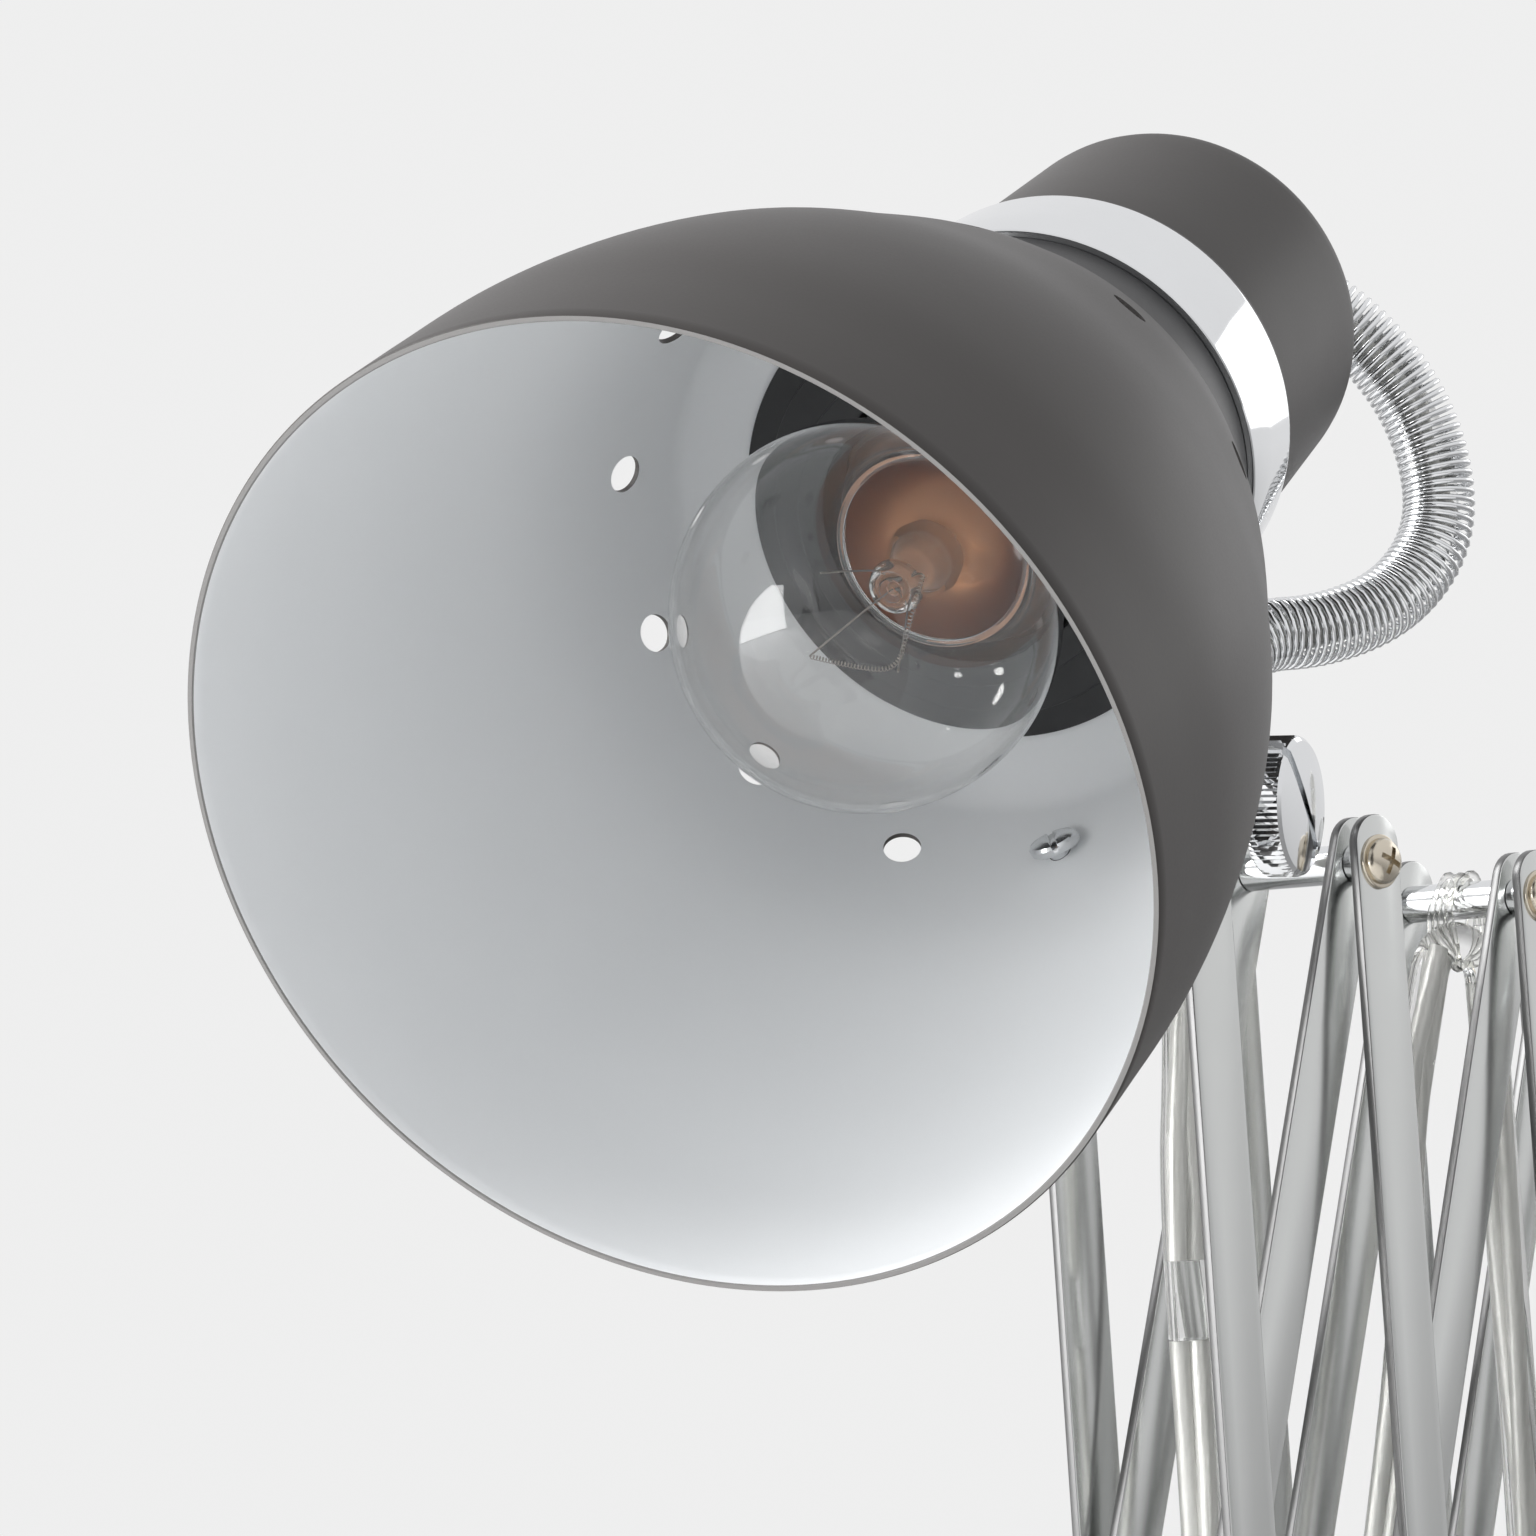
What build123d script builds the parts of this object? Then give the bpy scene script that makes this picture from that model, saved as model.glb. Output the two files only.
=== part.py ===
"""Scissor-arm desk lamp: clamp and post, lazy-tongs arm, bell shade head, flex, coil and plug."""

from build123d import *
from math import asin, atan2, cos, degrees, radians, sin, tan
import os

os.makedirs("parts", exist_ok=True)

# Frame: the origin is on the desk top, under the axis of the post.
# +Z is up, the arm reaches out towards -Y, and X runs along the cross rods of the arm.

# ---- driving dimensions, millimetres and degrees ----

stages = 4  # crossings of the scissor arm
pivot_spacing = 44.7  # distance between top pivots as the lamp stands
half_link = 132.5  # from a middle pivot to an end pivot of the same link
link_width = 11.0
link_thickness = 2.0
link_overhang = 8.4  # metal past the end pivots
inner_link_x = 11.5  # inboard face of the inner links
outer_link_x = 17.0  # inboard face of the outer links
row_height = 360.0  # top pivots above the desk
post_pivot_y = -20.0  # last pivots, in front of the post

rod_radius = 3.5
journal_radius = 2.5
running_fit = 0.05
face_gap = 0.2
thread_radius = 1.5
screw_head_radius = 4.1
screw_head_height = 2.4
washer_radius = 4.8
washer_thickness = 0.6

flex_radius = 3.6
flex_gap = 0.3

post_radius = 8.0
post_foot_z = 10.0
post_top_z = 378.0

head_yaw = 22.95  # turn of the head about the vertical, towards +X
head_pitch = 34.1  # opening below the horizontal
mouth_back = -165.2  # centre of the shade's opening, along the head's own level direction
mouth_side = -2.5
mouth_drop = -25.9
shade_wall = 1.0
bulb_radius = 30.0
bulb_centre = 76.0  # inside the opening
vent_circle_radius = 53.6
vent_station = 103.0
vent_radius = 3.3
vent_count = 12
first_vent_angle = 13.1  # from the underside of the shade; this one takes the bracket screw

swivel_pin_radius = 3.0
tilt_along = 13.0  # tilt shaft, behind the swivel pin
tilt_height = 6.5
knob_inner = 20.6
knob_outer = 28.4
knob_radius = 12.3

# ---- positions that follow from them ----

lean = asin(pivot_spacing / 2 / half_link)
row_drop = half_link * cos(lean)
head_pivot_y = post_pivot_y - stages * pivot_spacing


def top_y(index):
    """Y of top or bottom pivot number index; 0 is at the head, stages is at the post."""
    return head_pivot_y + index * pivot_spacing


def middle_y(index):
    return top_y(index) - pivot_spacing / 2


middle_z = row_height - row_drop
bottom_z = row_height - 2 * row_drop


def keep(builder, name):
    """Label a finished piece and write it to its own file."""
    builder.part.label = name
    export_step(builder.part, "parts/" + name + ".step")


def across(x, y, z):
    """Plane square to the cross rods."""
    return Plane(origin=(x, y, z), x_dir=(0, 1, 0), z_dir=(1, 0, 0))


def bar(x, y, z, radius, length, mode=Mode.ADD):
    """Round bar along +X from x."""
    with BuildSketch(across(x, y, z)) as section:
        Circle(radius)
    extrude(section.sketch, amount=length, mode=mode)


def bar_pair(y, z, start, radius, length, mode=Mode.ADD):
    """The same bar on both sides of the lamp's middle plane."""
    bar(start, y, z, radius, length, mode)
    bar(-start - length, y, z, radius, length, mode)


def upright(z, radius, height, x=0, y=0, mode=Mode.ADD):
    """Round bar along +Z from z."""
    with BuildSketch(Plane(origin=(x, y, z))) as section:
        Circle(radius)
    extrude(section.sketch, amount=height, mode=mode)


# ---- scissor arm ----


def link_pair(y, z, slope, inboard, holes):
    """Two flat links, one each side, centred on a middle pivot; holes are (position, radius)."""
    direction = (0, slope * sin(lean), cos(lean))
    for start in (inboard, -inboard - link_thickness):
        plane = Plane(origin=(start, y, z), x_dir=direction, z_dir=(1, 0, 0))
        with BuildSketch(plane) as strip:
            SlotOverall(2 * (half_link + link_overhang), link_width)
            for position, radius in holes:
                with Locations((position, 0)):
                    Circle(radius, mode=Mode.SUBTRACT)
        extrude(strip.sketch, amount=link_thickness)


def shouldered_rod(y, z):
    """Cross rod: thick between the inner links, thin through them, thick again as a spacer."""
    inner_face = inner_link_x - face_gap
    spacer_start = inner_link_x + link_thickness + face_gap
    bar(-inner_face, y, z, rod_radius, 2 * inner_face)
    bar(-outer_link_x, y, z, journal_radius, 2 * outer_link_x)
    bar_pair(y, z, spacer_start, rod_radius, outer_link_x - spacer_start)
    bar_pair(y, z, outer_link_x - 8, thread_radius, 8, Mode.SUBTRACT)


def pan_screws(y, z, seat, shank):
    """A washer and a pan-head screw with a cross recess and a shank, at both ends of a rod."""
    bar_pair(y, z, seat, washer_radius, washer_thickness)
    head_start = seat + washer_thickness
    for way in (1, -1):
        plane = Plane(origin=(way * head_start, y, z), x_dir=(0, 1, 0), z_dir=(way, 0, 0))
        with BuildSketch(plane) as head:
            Circle(screw_head_radius)
        extrude(head.sketch, amount=screw_head_height, taper=14)
        with BuildSketch(plane.offset(screw_head_height - 1.2)) as recess:
            Rectangle(4.0, 0.9, rotation=35)
            Rectangle(0.9, 4.0, rotation=35)
        extrude(recess.sketch, amount=1.3, mode=Mode.SUBTRACT)
        with BuildSketch(plane) as hole:
            Circle(thread_radius)
        extrude(hole.sketch, amount=-shank)


outer_seat = outer_link_x + link_thickness
outer_shank = link_thickness + washer_thickness + 7.5

for index in range(1, stages + 1):
    number = str(index)
    # Outer pair: from top pivot index-1 down to bottom pivot index.
    with BuildPart() as outer_links:
        end_holes = [(half_link, thread_radius), (0, thread_radius), (-half_link, thread_radius)]
        link_pair(middle_y(index), middle_z, -1, outer_link_x, end_holes)
    keep(outer_links, "outer_links_" + number)

    # Inner pair: from top pivot index down to bottom pivot index-1; it turns on the rods.
    with BuildPart() as inner_links:
        bore = journal_radius + running_fit
        inner_holes = [(half_link, bore), (0, bore), (-half_link, bore)]
        link_pair(middle_y(index), middle_z, 1, inner_link_x, inner_holes)
    keep(inner_links, "inner_links_" + number)

    pivots = [(middle_y(index), middle_z), (top_y(index), bottom_z)]
    if index > 1:
        pivots.append((top_y(index - 1), row_height))
    if index == stages:
        pivots.remove((top_y(index), bottom_z))
    with BuildPart() as cross_rods:
        for y, z in pivots:
            shouldered_rod(y, z)
        if index == 1:
            bar(-outer_link_x, top_y(0), row_height, rod_radius, 2 * outer_link_x)
            bar(-outer_seat - 0.4, top_y(0), row_height, thread_radius - 0.02, 2 * outer_seat + 0.8)
        if index == stages:
            bar(-outer_link_x, top_y(index), bottom_z, rod_radius, 2 * outer_link_x)
            bar_pair(top_y(index), bottom_z, outer_link_x - 8, thread_radius, 8, Mode.SUBTRACT)
    keep(cross_rods, "cross_rods_" + number)

    with BuildPart() as pivot_screws:
        for y, z in pivots:
            pan_screws(y, z, outer_seat, outer_shank)
        if index == stages:
            pan_screws(top_y(index), bottom_z, outer_seat, outer_shank)
    keep(pivot_screws, "pivot_screws_" + number)

# The lowest pivot under the head joins only the first inner links.
with BuildPart() as end_rod:
    bar(-inner_link_x, head_pivot_y, bottom_z, rod_radius, 2 * inner_link_x)
    reach = inner_link_x + link_thickness + 0.5
    bar(-reach, head_pivot_y, bottom_z, journal_radius, 2 * reach)
keep(end_rod, "end_rod")

# ---- post, collars and clamp ----

with BuildPart() as post:
    upright(post_foot_z, post_radius, post_top_z - post_foot_z)
    upright(post_foot_z, post_radius - 1.5, post_top_z - post_foot_z, mode=Mode.SUBTRACT)
    post_top_edge = post.faces().sort_by(Axis.Z)[-1].outer_wire().edges()
    chamfer(post_top_edge, 0.5)
keep(post, "post")

collar_bore = post_radius + running_fit
collar_radius = 13.0
ear_inner = 5.2
ear_outer = 10.8

# Upper collar: turns on the post and carries the last top pivot between two ears.
with BuildPart() as swivel_collar:
    upright(row_height - 12, collar_radius, 24)
    for start in (ear_inner, -ear_outer):
        with BuildSketch(across(start, post_pivot_y, row_height)):
            Circle(6.5)
            with Locations((8, 0)):
                Rectangle(16, 13)
        extrude(amount=ear_outer - ear_inner)
    upright(row_height - 12, collar_bore, 24, mode=Mode.SUBTRACT)
    bar(-ear_outer, post_pivot_y, row_height, rod_radius, 2 * ear_outer, Mode.SUBTRACT)
keep(swivel_collar, "swivel_collar")

# Cap on the collar: closes the top of the post and lets the flex in.
with BuildPart() as post_cap:
    upright(row_height + 12, collar_radius, 12)
    upright(row_height + 12, post_radius + 0.4, 7.5, mode=Mode.SUBTRACT)
    upright(row_height + 12, 5.2, 12, mode=Mode.SUBTRACT)
    fillet(post_cap.edges().filter_by(GeomType.CIRCLE).group_by(Axis.Z)[-1].sort_by(Edge.length)[-1], 3)
keep(post_cap, "post_cap")

with BuildPart() as cap_grommet:
    upright(row_height + 19.8, 5.2, 4.2)
    upright(row_height + 24, 7.2, 1.6)
    upright(row_height + 19.8, flex_radius, 5.8, mode=Mode.SUBTRACT)
keep(cap_grommet, "cap_grommet")

with BuildPart() as top_pin:
    bar(-ear_outer, post_pivot_y, row_height, rod_radius, 2 * ear_outer)
    journal_end = inner_link_x + link_thickness + face_gap
    bar(-journal_end, post_pivot_y, row_height, journal_radius, 2 * journal_end)
keep(top_pin, "top_pin")

with BuildPart() as top_pin_screws:
    pan_screws(post_pivot_y, row_height, journal_end, washer_thickness)
keep(top_pin_screws, "top_pin_screws")

# Lower collar: slides on the post as the arm opens.
with BuildPart() as sliding_collar:
    upright(bottom_z - 10, collar_radius, 20)
    with BuildSketch(across(-16.5, post_pivot_y, bottom_z)):
        Circle(6.5)
        with Locations((7, 0)):
            Rectangle(14, 13)
    extrude(amount=33)
    upright(bottom_z - 10, collar_bore, 20, mode=Mode.SUBTRACT)
    bar(-16.5, post_pivot_y, bottom_z, rod_radius + running_fit, 33, Mode.SUBTRACT)
keep(sliding_collar, "sliding_collar")

# Stop ring: fixed under the upper collar, which rests on it.
with BuildPart() as stop_ring:
    upright(row_height - 22, 12.5, 9.7)
    upright(row_height - 22, post_radius, 9.7, mode=Mode.SUBTRACT)
    with BuildSketch(Plane(origin=(0, 12.5, row_height - 17.1), z_dir=(0, 1, 0))):
        Circle(2.0)
    extrude(amount=-4.5, mode=Mode.SUBTRACT)
keep(stop_ring, "stop_ring")

with BuildPart() as stop_ring_screw:
    with BuildSketch(Plane(origin=(0, post_radius, row_height - 17.1), z_dir=(0, 1, 0))):
        Circle(2.0)
    extrude(amount=12)
    with BuildSketch(Plane(origin=(0, 14, row_height - 17.1), z_dir=(0, 1, 0))):
        Circle(5.5)
    extrude(amount=6)
keep(stop_ring_screw, "stop_ring_screw")

jaw_half_width = 21.0
jaw_front_y = -52.0
spine_front_y = 16.0
spine_back_y = 26.0
upper_jaw_top = 9.0
lower_jaw_top = -62.0
lower_jaw_bottom = -72.0
screw_y = -26.0
pad_thickness = 0.8


def pad_outline():
    """Outline of the thin pad that is let into the underside of the jaw."""
    with BuildSketch(Plane.XY) as outline:
        with Locations((0, (jaw_front_y + spine_front_y) / 2)):
            RectangleRounded(2 * jaw_half_width - 6, spine_front_y - jaw_front_y - 8, 4)
    return outline.sketch


with BuildPart() as clamp_body:
    with BuildSketch(across(-jaw_half_width, 0, 0)):
        with BuildLine():
            Polyline(
                (jaw_front_y, 0),
                (spine_front_y, 0),
                (spine_front_y, lower_jaw_top),
                (screw_y - 12, lower_jaw_top),
                (screw_y - 12, lower_jaw_bottom),
                (spine_back_y, lower_jaw_bottom),
                (spine_back_y, upper_jaw_top),
                (jaw_front_y, upper_jaw_top),
                close=True,
            )
        make_face()
    extrude(amount=2 * jaw_half_width)
    fillet(clamp_body.edges().filter_by(Axis.X).filter_by_position(Axis.Y, 25.9, 26.1), 5)
    upright(upper_jaw_top, 17, 22)
    upright(post_foot_z, post_radius, 40, mode=Mode.SUBTRACT)
    upright(lower_jaw_bottom, 5.05, lower_jaw_top - lower_jaw_bottom, y=screw_y, mode=Mode.SUBTRACT)
    with BuildSketch(Plane(origin=(post_radius - 2, 0, 21), z_dir=(1, 0, 0))):
        Circle(4.5)
    extrude(amount=12, mode=Mode.SUBTRACT)
    extrude(pad_outline(), amount=pad_thickness, mode=Mode.SUBTRACT)
keep(clamp_body, "clamp_body")

with BuildPart() as clamp_screw:
    upright(-122, 5.0, 79, y=screw_y)
    with BuildSketch(Plane(origin=(0, screw_y, -132))):
        Circle(16)
    extrude(amount=10)
    with BuildSketch(Plane(origin=(0, screw_y, -132))):
        with PolarLocations(17.5, 8):
            Circle(3.6)
    extrude(amount=10, mode=Mode.SUBTRACT)
keep(clamp_screw, "clamp_screw")

with BuildPart() as clamp_pad:
    upright(-45, 13, 5, y=screw_y)
    upright(-40, 12, 2, y=screw_y)
    upright(-45, 5.0, 2, y=screw_y, mode=Mode.SUBTRACT)
keep(clamp_pad, "clamp_pad")

with BuildPart() as desk_pad:
    extrude(pad_outline(), amount=pad_thickness)
keep(desk_pad, "desk_pad")

# ---- head: its own level frame and its axis ----

yaw = radians(head_yaw)
pitch = radians(head_pitch)
pivot = Vector(0, head_pivot_y, row_height)
along = Vector(-sin(yaw), cos(yaw), 0)
side = Vector(cos(yaw), sin(yaw), 0)
rise = Vector(0, 0, 1)
head_axis = along * cos(pitch) + rise * sin(pitch)
head_up = rise * cos(pitch) - along * sin(pitch)
mouth = pivot + along * mouth_back + side * mouth_side + rise * mouth_drop


def head_point(u, k, z):
    """Point from the head pivot: u backwards, k towards the knob, z up."""
    return pivot + along * u + side * k + rise * z


def station(z, radius=0.0, angle=0.0):
    """Point in the head at height z on its axis; angle is from the underside towards the knob."""
    turn = radians(angle)
    return mouth + head_axis * z + (side * sin(turn) - head_up * cos(turn)) * radius


head_profile = Plane(origin=mouth, x_dir=-head_up, z_dir=(-head_up).cross(head_axis))
axis_of_head = Axis(mouth, head_axis)


# Outside of the shade: (radius, distance inside the opening).
shade_outline = [
    (73.0, 0),
    (73.0, 14),
    (72.7, 32),
    (70.6, 50),
    (66.9, 67),
    (60.5, 86),
    (54.0, 104.5),
    (46.8, 121),
]
shade_back_z = 122.0
shade_neck_radius = 30.0

with BuildPart() as shade:
    with BuildSketch(head_profile):
        with BuildLine():
            outside = Spline(*shade_outline)
            inner_line = [(radius - shade_wall, z) for radius, z in shade_outline[:-1]]
            inside = Spline(*inner_line, (45.5, 120))
            Line(outside @ 0, inside @ 0)
            Polyline(outside @ 1, (45.7, shade_back_z), (shade_neck_radius, shade_back_z))
            Line((shade_neck_radius, shade_back_z), (shade_neck_radius, 121))
            Polyline((shade_neck_radius, 121), (45.1, 121), inside @ 1)
        make_face()
    revolve(axis=axis_of_head)
    wall_slope = atan2(60.5 - 54.0, 104.5 - 86)
    for number in range(vent_count):
        angle = first_vent_angle + number * 360 / vent_count
        turn = radians(angle)
        outward = side * sin(turn) - head_up * cos(turn)
        normal = outward * cos(wall_slope) + head_axis * sin(wall_slope)
        hole = 2.1 if number == 0 else vent_radius
        with BuildSketch(Plane(origin=station(vent_station, vent_circle_radius, angle), z_dir=normal)):
            Circle(hole)
        extrude(amount=5, both=True, mode=Mode.SUBTRACT)
keep(shade, "shade")


def turned_head(points):
    """Solid of revolution in the head from (radius, z) corners."""
    with BuildSketch(head_profile) as section:
        with BuildLine():
            Polyline(*points, close=True)
        make_face()
    revolve(section.sketch, axis=axis_of_head)


# Black housing: a stepped ring seen inside the shade and a band behind it.
with BuildPart() as socket_ring:
    turned_head(
        [
            (29.9, 123.5),
            (29.9, 120.9),
            (39, 120.9),
            (39, 119),
            (34, 119),
            (34, 116.5),
            (28, 116.5),
            (28, 113.5),
            (23.2, 113.5),
            (23.2, 123.5),
        ]
    )
keep(socket_ring, "socket_ring")

with BuildPart() as socket_housing:
    turned_head(
        [(20.6, 123.6), (44, 123.6), (42.5, 127), (38.4, 130), (37.6, 147), (34.5, 147), (34.5, 128), (20.6, 128)]
    )
keep(socket_housing, "socket_housing")

with BuildPart() as lampholder:
    turned_head([(0, 158), (20.5, 158), (20.5, 114), (18.4, 111), (15.4, 111), (15.4, 154.5), (0, 154.5)])
keep(lampholder, "lampholder")

with BuildPart() as chrome_ring:
    turned_head(
        [
            (34.4, 147.1),
            (38.8, 147.1),
            (38.2, 168),
            (37.2, 171),
            (34.4, 171),
            (34.4, 165),
            (36.4, 165),
            (36.4, 150),
            (34.4, 150),
        ]
    )
keep(chrome_ring, "chrome_ring")

cap_start = 171.1
cap_end = 223.0
with BuildPart() as cap:
    with BuildSketch(head_profile):
        with BuildLine():
            Line((36.2, cap_start), (35.0, cap_end - 8))
            Spline((35.0, cap_end - 8), (32.6, cap_end - 2.6), (27.0, cap_end), tangents=[(-0.02, 1), (-1, 0)])
            Polyline((27.0, cap_end), (4.2, cap_end), (4.2, cap_end - 2.5), (26.0, cap_end - 2.5))
            Polyline((26.0, cap_end - 2.5), (32.8, cap_end - 9), (33.9, cap_start), (36.2, cap_start))
        make_face()
    revolve(axis=axis_of_head)
keep(cap, "cap")

with BuildPart() as cord_gland:
    turned_head(
        [
            (3.75, cap_end - 2.5),
            (4.15, cap_end - 2.5),
            (4.15, cap_end + 0.1),
            (8.2, cap_end + 0.1),
            (8.2, cap_end + 4),
            (3.75, cap_end + 4),
        ]
    )
keep(cord_gland, "cord_gland")

# ---- bulb ----

base_start = bulb_centre + 48.5
glass_wall = 0.7


def bulb_line(shrink):
    """Half outline of the glass, from the front of the globe back to the base, moved inwards."""
    radius = bulb_radius - shrink
    turn = radians(42)
    shoulder = (radius * cos(turn), bulb_centre + radius * sin(turn))
    globe = ThreePointArc(
        (0, bulb_centre - radius),
        (radius * cos(-turn), bulb_centre - radius * sin(turn)),
        shoulder,
    )
    neck = Spline(shoulder, (15.2 - shrink, bulb_centre + 34), (13.6 - shrink, base_start), tangents=[(-0.7, 0.75), (-0.02, 1)])
    return globe, neck


with BuildPart() as bulb_glass:
    with BuildSketch(head_profile) as glass_section:
        with BuildLine():
            outer_globe, outer_neck = bulb_line(0)
            inner_globe, inner_neck = bulb_line(glass_wall)
            Line(outer_globe @ 0, inner_globe @ 0)
            Line(outer_neck @ 1, inner_neck @ 1)
        make_face()
    revolve(glass_section.sketch, axis=axis_of_head)
keep(bulb_glass, "bulb_glass")

with BuildPart() as bulb_base:
    turned_head(
        [
            (0, base_start + 0.05),
            (13.3, base_start + 0.05),
            (13.3, base_start + 22.5),
            (8, base_start + 26.5),
            (5, base_start + 29.1),
            (0, base_start + 29.1),
        ]
    )
keep(bulb_base, "bulb_base")

# ---- head mount: swivel block on the first rod, yoke, tilt shaft, bracket and knob ----

with BuildPart() as swivel_block:
    bar(-5, head_pivot_y, row_height, 6.0, 10)
    upright(row_height + 3.5, swivel_pin_radius, 10.5, y=head_pivot_y)
    bar(-5, head_pivot_y, row_height, rod_radius + running_fit, 10, Mode.SUBTRACT)
keep(swivel_block, "swivel_block")

tilt_centre = head_point(tilt_along, 0, tilt_height)


def tilt_disc(k, u=tilt_along, z=tilt_height):
    """Plane square to the tilt shaft; its x runs forwards to the shade and its y up."""
    return Plane(origin=head_point(u, k, z), x_dir=-along, z_dir=(-along).cross(rise))


with BuildPart() as yoke:
    with BuildSketch(Plane(origin=head_point(0, 0, 6.4), x_dir=along, z_dir=rise)):
        Circle(6.2)
        with Locations((7, -1.5)):
            Rectangle(14, 9)
    extrude(amount=3.6)
    with BuildSketch(tilt_disc(6)):
        Circle(5.2)
    extrude(amount=9)
    upright(row_height + 2, swivel_pin_radius + running_fit, 12, y=head_pivot_y, mode=Mode.SUBTRACT)
    with BuildSketch(tilt_disc(6)):
        Circle(journal_radius + running_fit)
    extrude(amount=9, mode=Mode.SUBTRACT)
keep(yoke, "yoke")

with BuildPart() as swivel_nut:
    with BuildSketch(Plane(origin=head_point(0, 0, 10.1), x_dir=along, z_dir=rise)):
        RegularPolygon(4.6, 6)
        Circle(swivel_pin_radius, mode=Mode.SUBTRACT)
    extrude(amount=2.8)
keep(swivel_nut, "swivel_nut")

bracket_inner = 6.3
bracket_outer = 8.5
tab_angle = first_vent_angle
tab_turn = radians(tab_angle)
tab_out = side * sin(tab_turn) - head_up * cos(tab_turn)
tab_normal = tab_out * cos(wall_slope) + head_axis * sin(wall_slope)
tab_centre = station(vent_station, vent_circle_radius, tab_angle) + tab_normal * 1.35
tab_plane = Plane(origin=tab_centre, x_dir=tab_normal.cross(head_axis).normalized(), z_dir=tab_normal)

with BuildPart() as head_bracket:
    with BuildSketch(tilt_disc(bracket_outer, 0, 0)):
        with BuildLine():
            Polyline((-13, 6.5), (-7, 14), (3, 15.5), (18, 10), (28, 1), (39.4, -6.1), (42.8, -10.5))
        trace(line_width=7.2)
        with Locations((-13, 6.5)):
            Circle(5.6)
            Circle(journal_radius, mode=Mode.SUBTRACT)
    extrude(amount=bracket_outer - bracket_inner)
    with BuildSketch(tab_plane):
        RectangleRounded(15, 22, 3)
        Circle(2.1, mode=Mode.SUBTRACT)
    extrude(amount=1.8)
keep(head_bracket, "head_bracket")

screw_seat = 1.85  # flat underside of the head, just clear of the curved inside of the shade
with BuildPart() as bracket_screw:
    with BuildSketch(Plane(origin=tab_centre - tab_normal * screw_seat, z_dir=-tab_normal)):
        Circle(5.6)
    extrude(amount=2.6, taper=18)
    with BuildSketch(Plane(origin=tab_centre - tab_normal * (screw_seat + 2.7), z_dir=tab_normal)):
        Rectangle(12, 1.2)
    extrude(amount=1.3, mode=Mode.SUBTRACT)
    with BuildSketch(Plane(origin=tab_centre - tab_normal * (screw_seat + 0.1), z_dir=tab_normal)):
        Circle(2.0)
    extrude(amount=9)
keep(bracket_screw, "bracket_screw")

with BuildPart() as bracket_nut:
    with BuildSketch(Plane(origin=tab_centre + tab_normal * 1.9, z_dir=tab_normal)):
        RegularPolygon(4.2, 6)
        Circle(2.0, mode=Mode.SUBTRACT)
    extrude(amount=3.2)
keep(bracket_nut, "bracket_nut")

with BuildPart() as tilt_shaft:
    with BuildSketch(tilt_disc(-3.2)):
        Circle(5.0)
    extrude(amount=2.0)
    with BuildSketch(tilt_disc(knob_inner + 4)):
        Circle(journal_radius)
    extrude(amount=knob_inner + 4 + 3.3)
keep(tilt_shaft, "tilt_shaft")

with BuildPart() as knob_spacer:
    with BuildSketch(tilt_disc(knob_inner - 0.1)):
        Circle(4.0)
        Circle(journal_radius, mode=Mode.SUBTRACT)
    extrude(amount=knob_inner - 0.1 - bracket_outer)
keep(knob_spacer, "knob_spacer")

with BuildPart() as tilt_knob:
    with BuildSketch(tilt_disc(knob_outer)):
        Circle(knob_radius)
    extrude(amount=knob_outer - knob_inner)
    rim = tilt_knob.edges().filter_by(GeomType.CIRCLE)
    chamfer(rim, 0.8)
    with BuildSketch(tilt_disc(knob_outer + 1)):
        Rectangle(30, 1.8, rotation=-42)
    extrude(amount=2.6, mode=Mode.SUBTRACT)
    with BuildSketch(tilt_disc(knob_inner + 4)):
        Circle(journal_radius + running_fit)
    extrude(amount=4, mode=Mode.SUBTRACT)
keep(tilt_knob, "tilt_knob")

# ---- flex held by the lamp ----


def corner_radii(points, share=0.45):
    """Arc for each corner: a share of the shorter run, over the tangent of half the turn."""
    radii = []
    for before, corner, after in zip(points, points[1:], points[2:]):
        first = Vector(*corner) - Vector(*before)
        second = Vector(*after) - Vector(*corner)
        half_turn = radians(first.get_angle(second)) / 2
        radii.append(share * min(first.length, second.length) / tan(half_turn))
    return radii


def tube(points, radii, radius, hollow=0.0):
    """Round tube along straight runs joined by tangent arcs; returns the length of its path."""
    with BuildLine(mode=Mode.PRIVATE):
        path = FilletPolyline(*points, radius=radii)
    with BuildSketch(Plane(origin=path @ 0, z_dir=path % 0)) as section:
        Circle(radius)
        if hollow:
            Circle(hollow, mode=Mode.SUBTRACT)
    sweep(section.sketch, path=path)
    return path.length


def from_pivot(x, y, z):
    return tuple(pivot + Vector(x, y, z))


# Out of the cap, over and down in a loop behind it, and forwards again above the arm.
gland_exit = station(cap_end + 4.1)
loop_points = [
    tuple(station(cap_end + 20)),
    from_pivot(-12, 45, 112.5),
    from_pivot(-1, 58, 102),
    from_pivot(5, 69, 87),
    from_pivot(7, 73, 68),
    from_pivot(4, 65, 53),
    from_pivot(-1, 50, 44.5),
    from_pivot(-6, 34, 41.5),
    from_pivot(-8.5, 23, 27),
]
lead_end = [
    from_pivot(-7, 21.5, 3),
    from_pivot(-5, 20.5, -17),
    from_pivot(-2, 19.5, -38),
]
spring_radius = 6.8

wrap = rod_radius + flex_radius + flex_gap


def beside(y, z, slope, distance, offset):
    """Point on a link's line at a distance below (y, z), moved square to the link towards +Y."""
    shift_y = -slope * distance * sin(lean) + offset * cos(lean)
    shift_z = -distance * cos(lean) - slope * offset * sin(lean)
    return (0.0, y + shift_y, z + shift_z)


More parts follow.
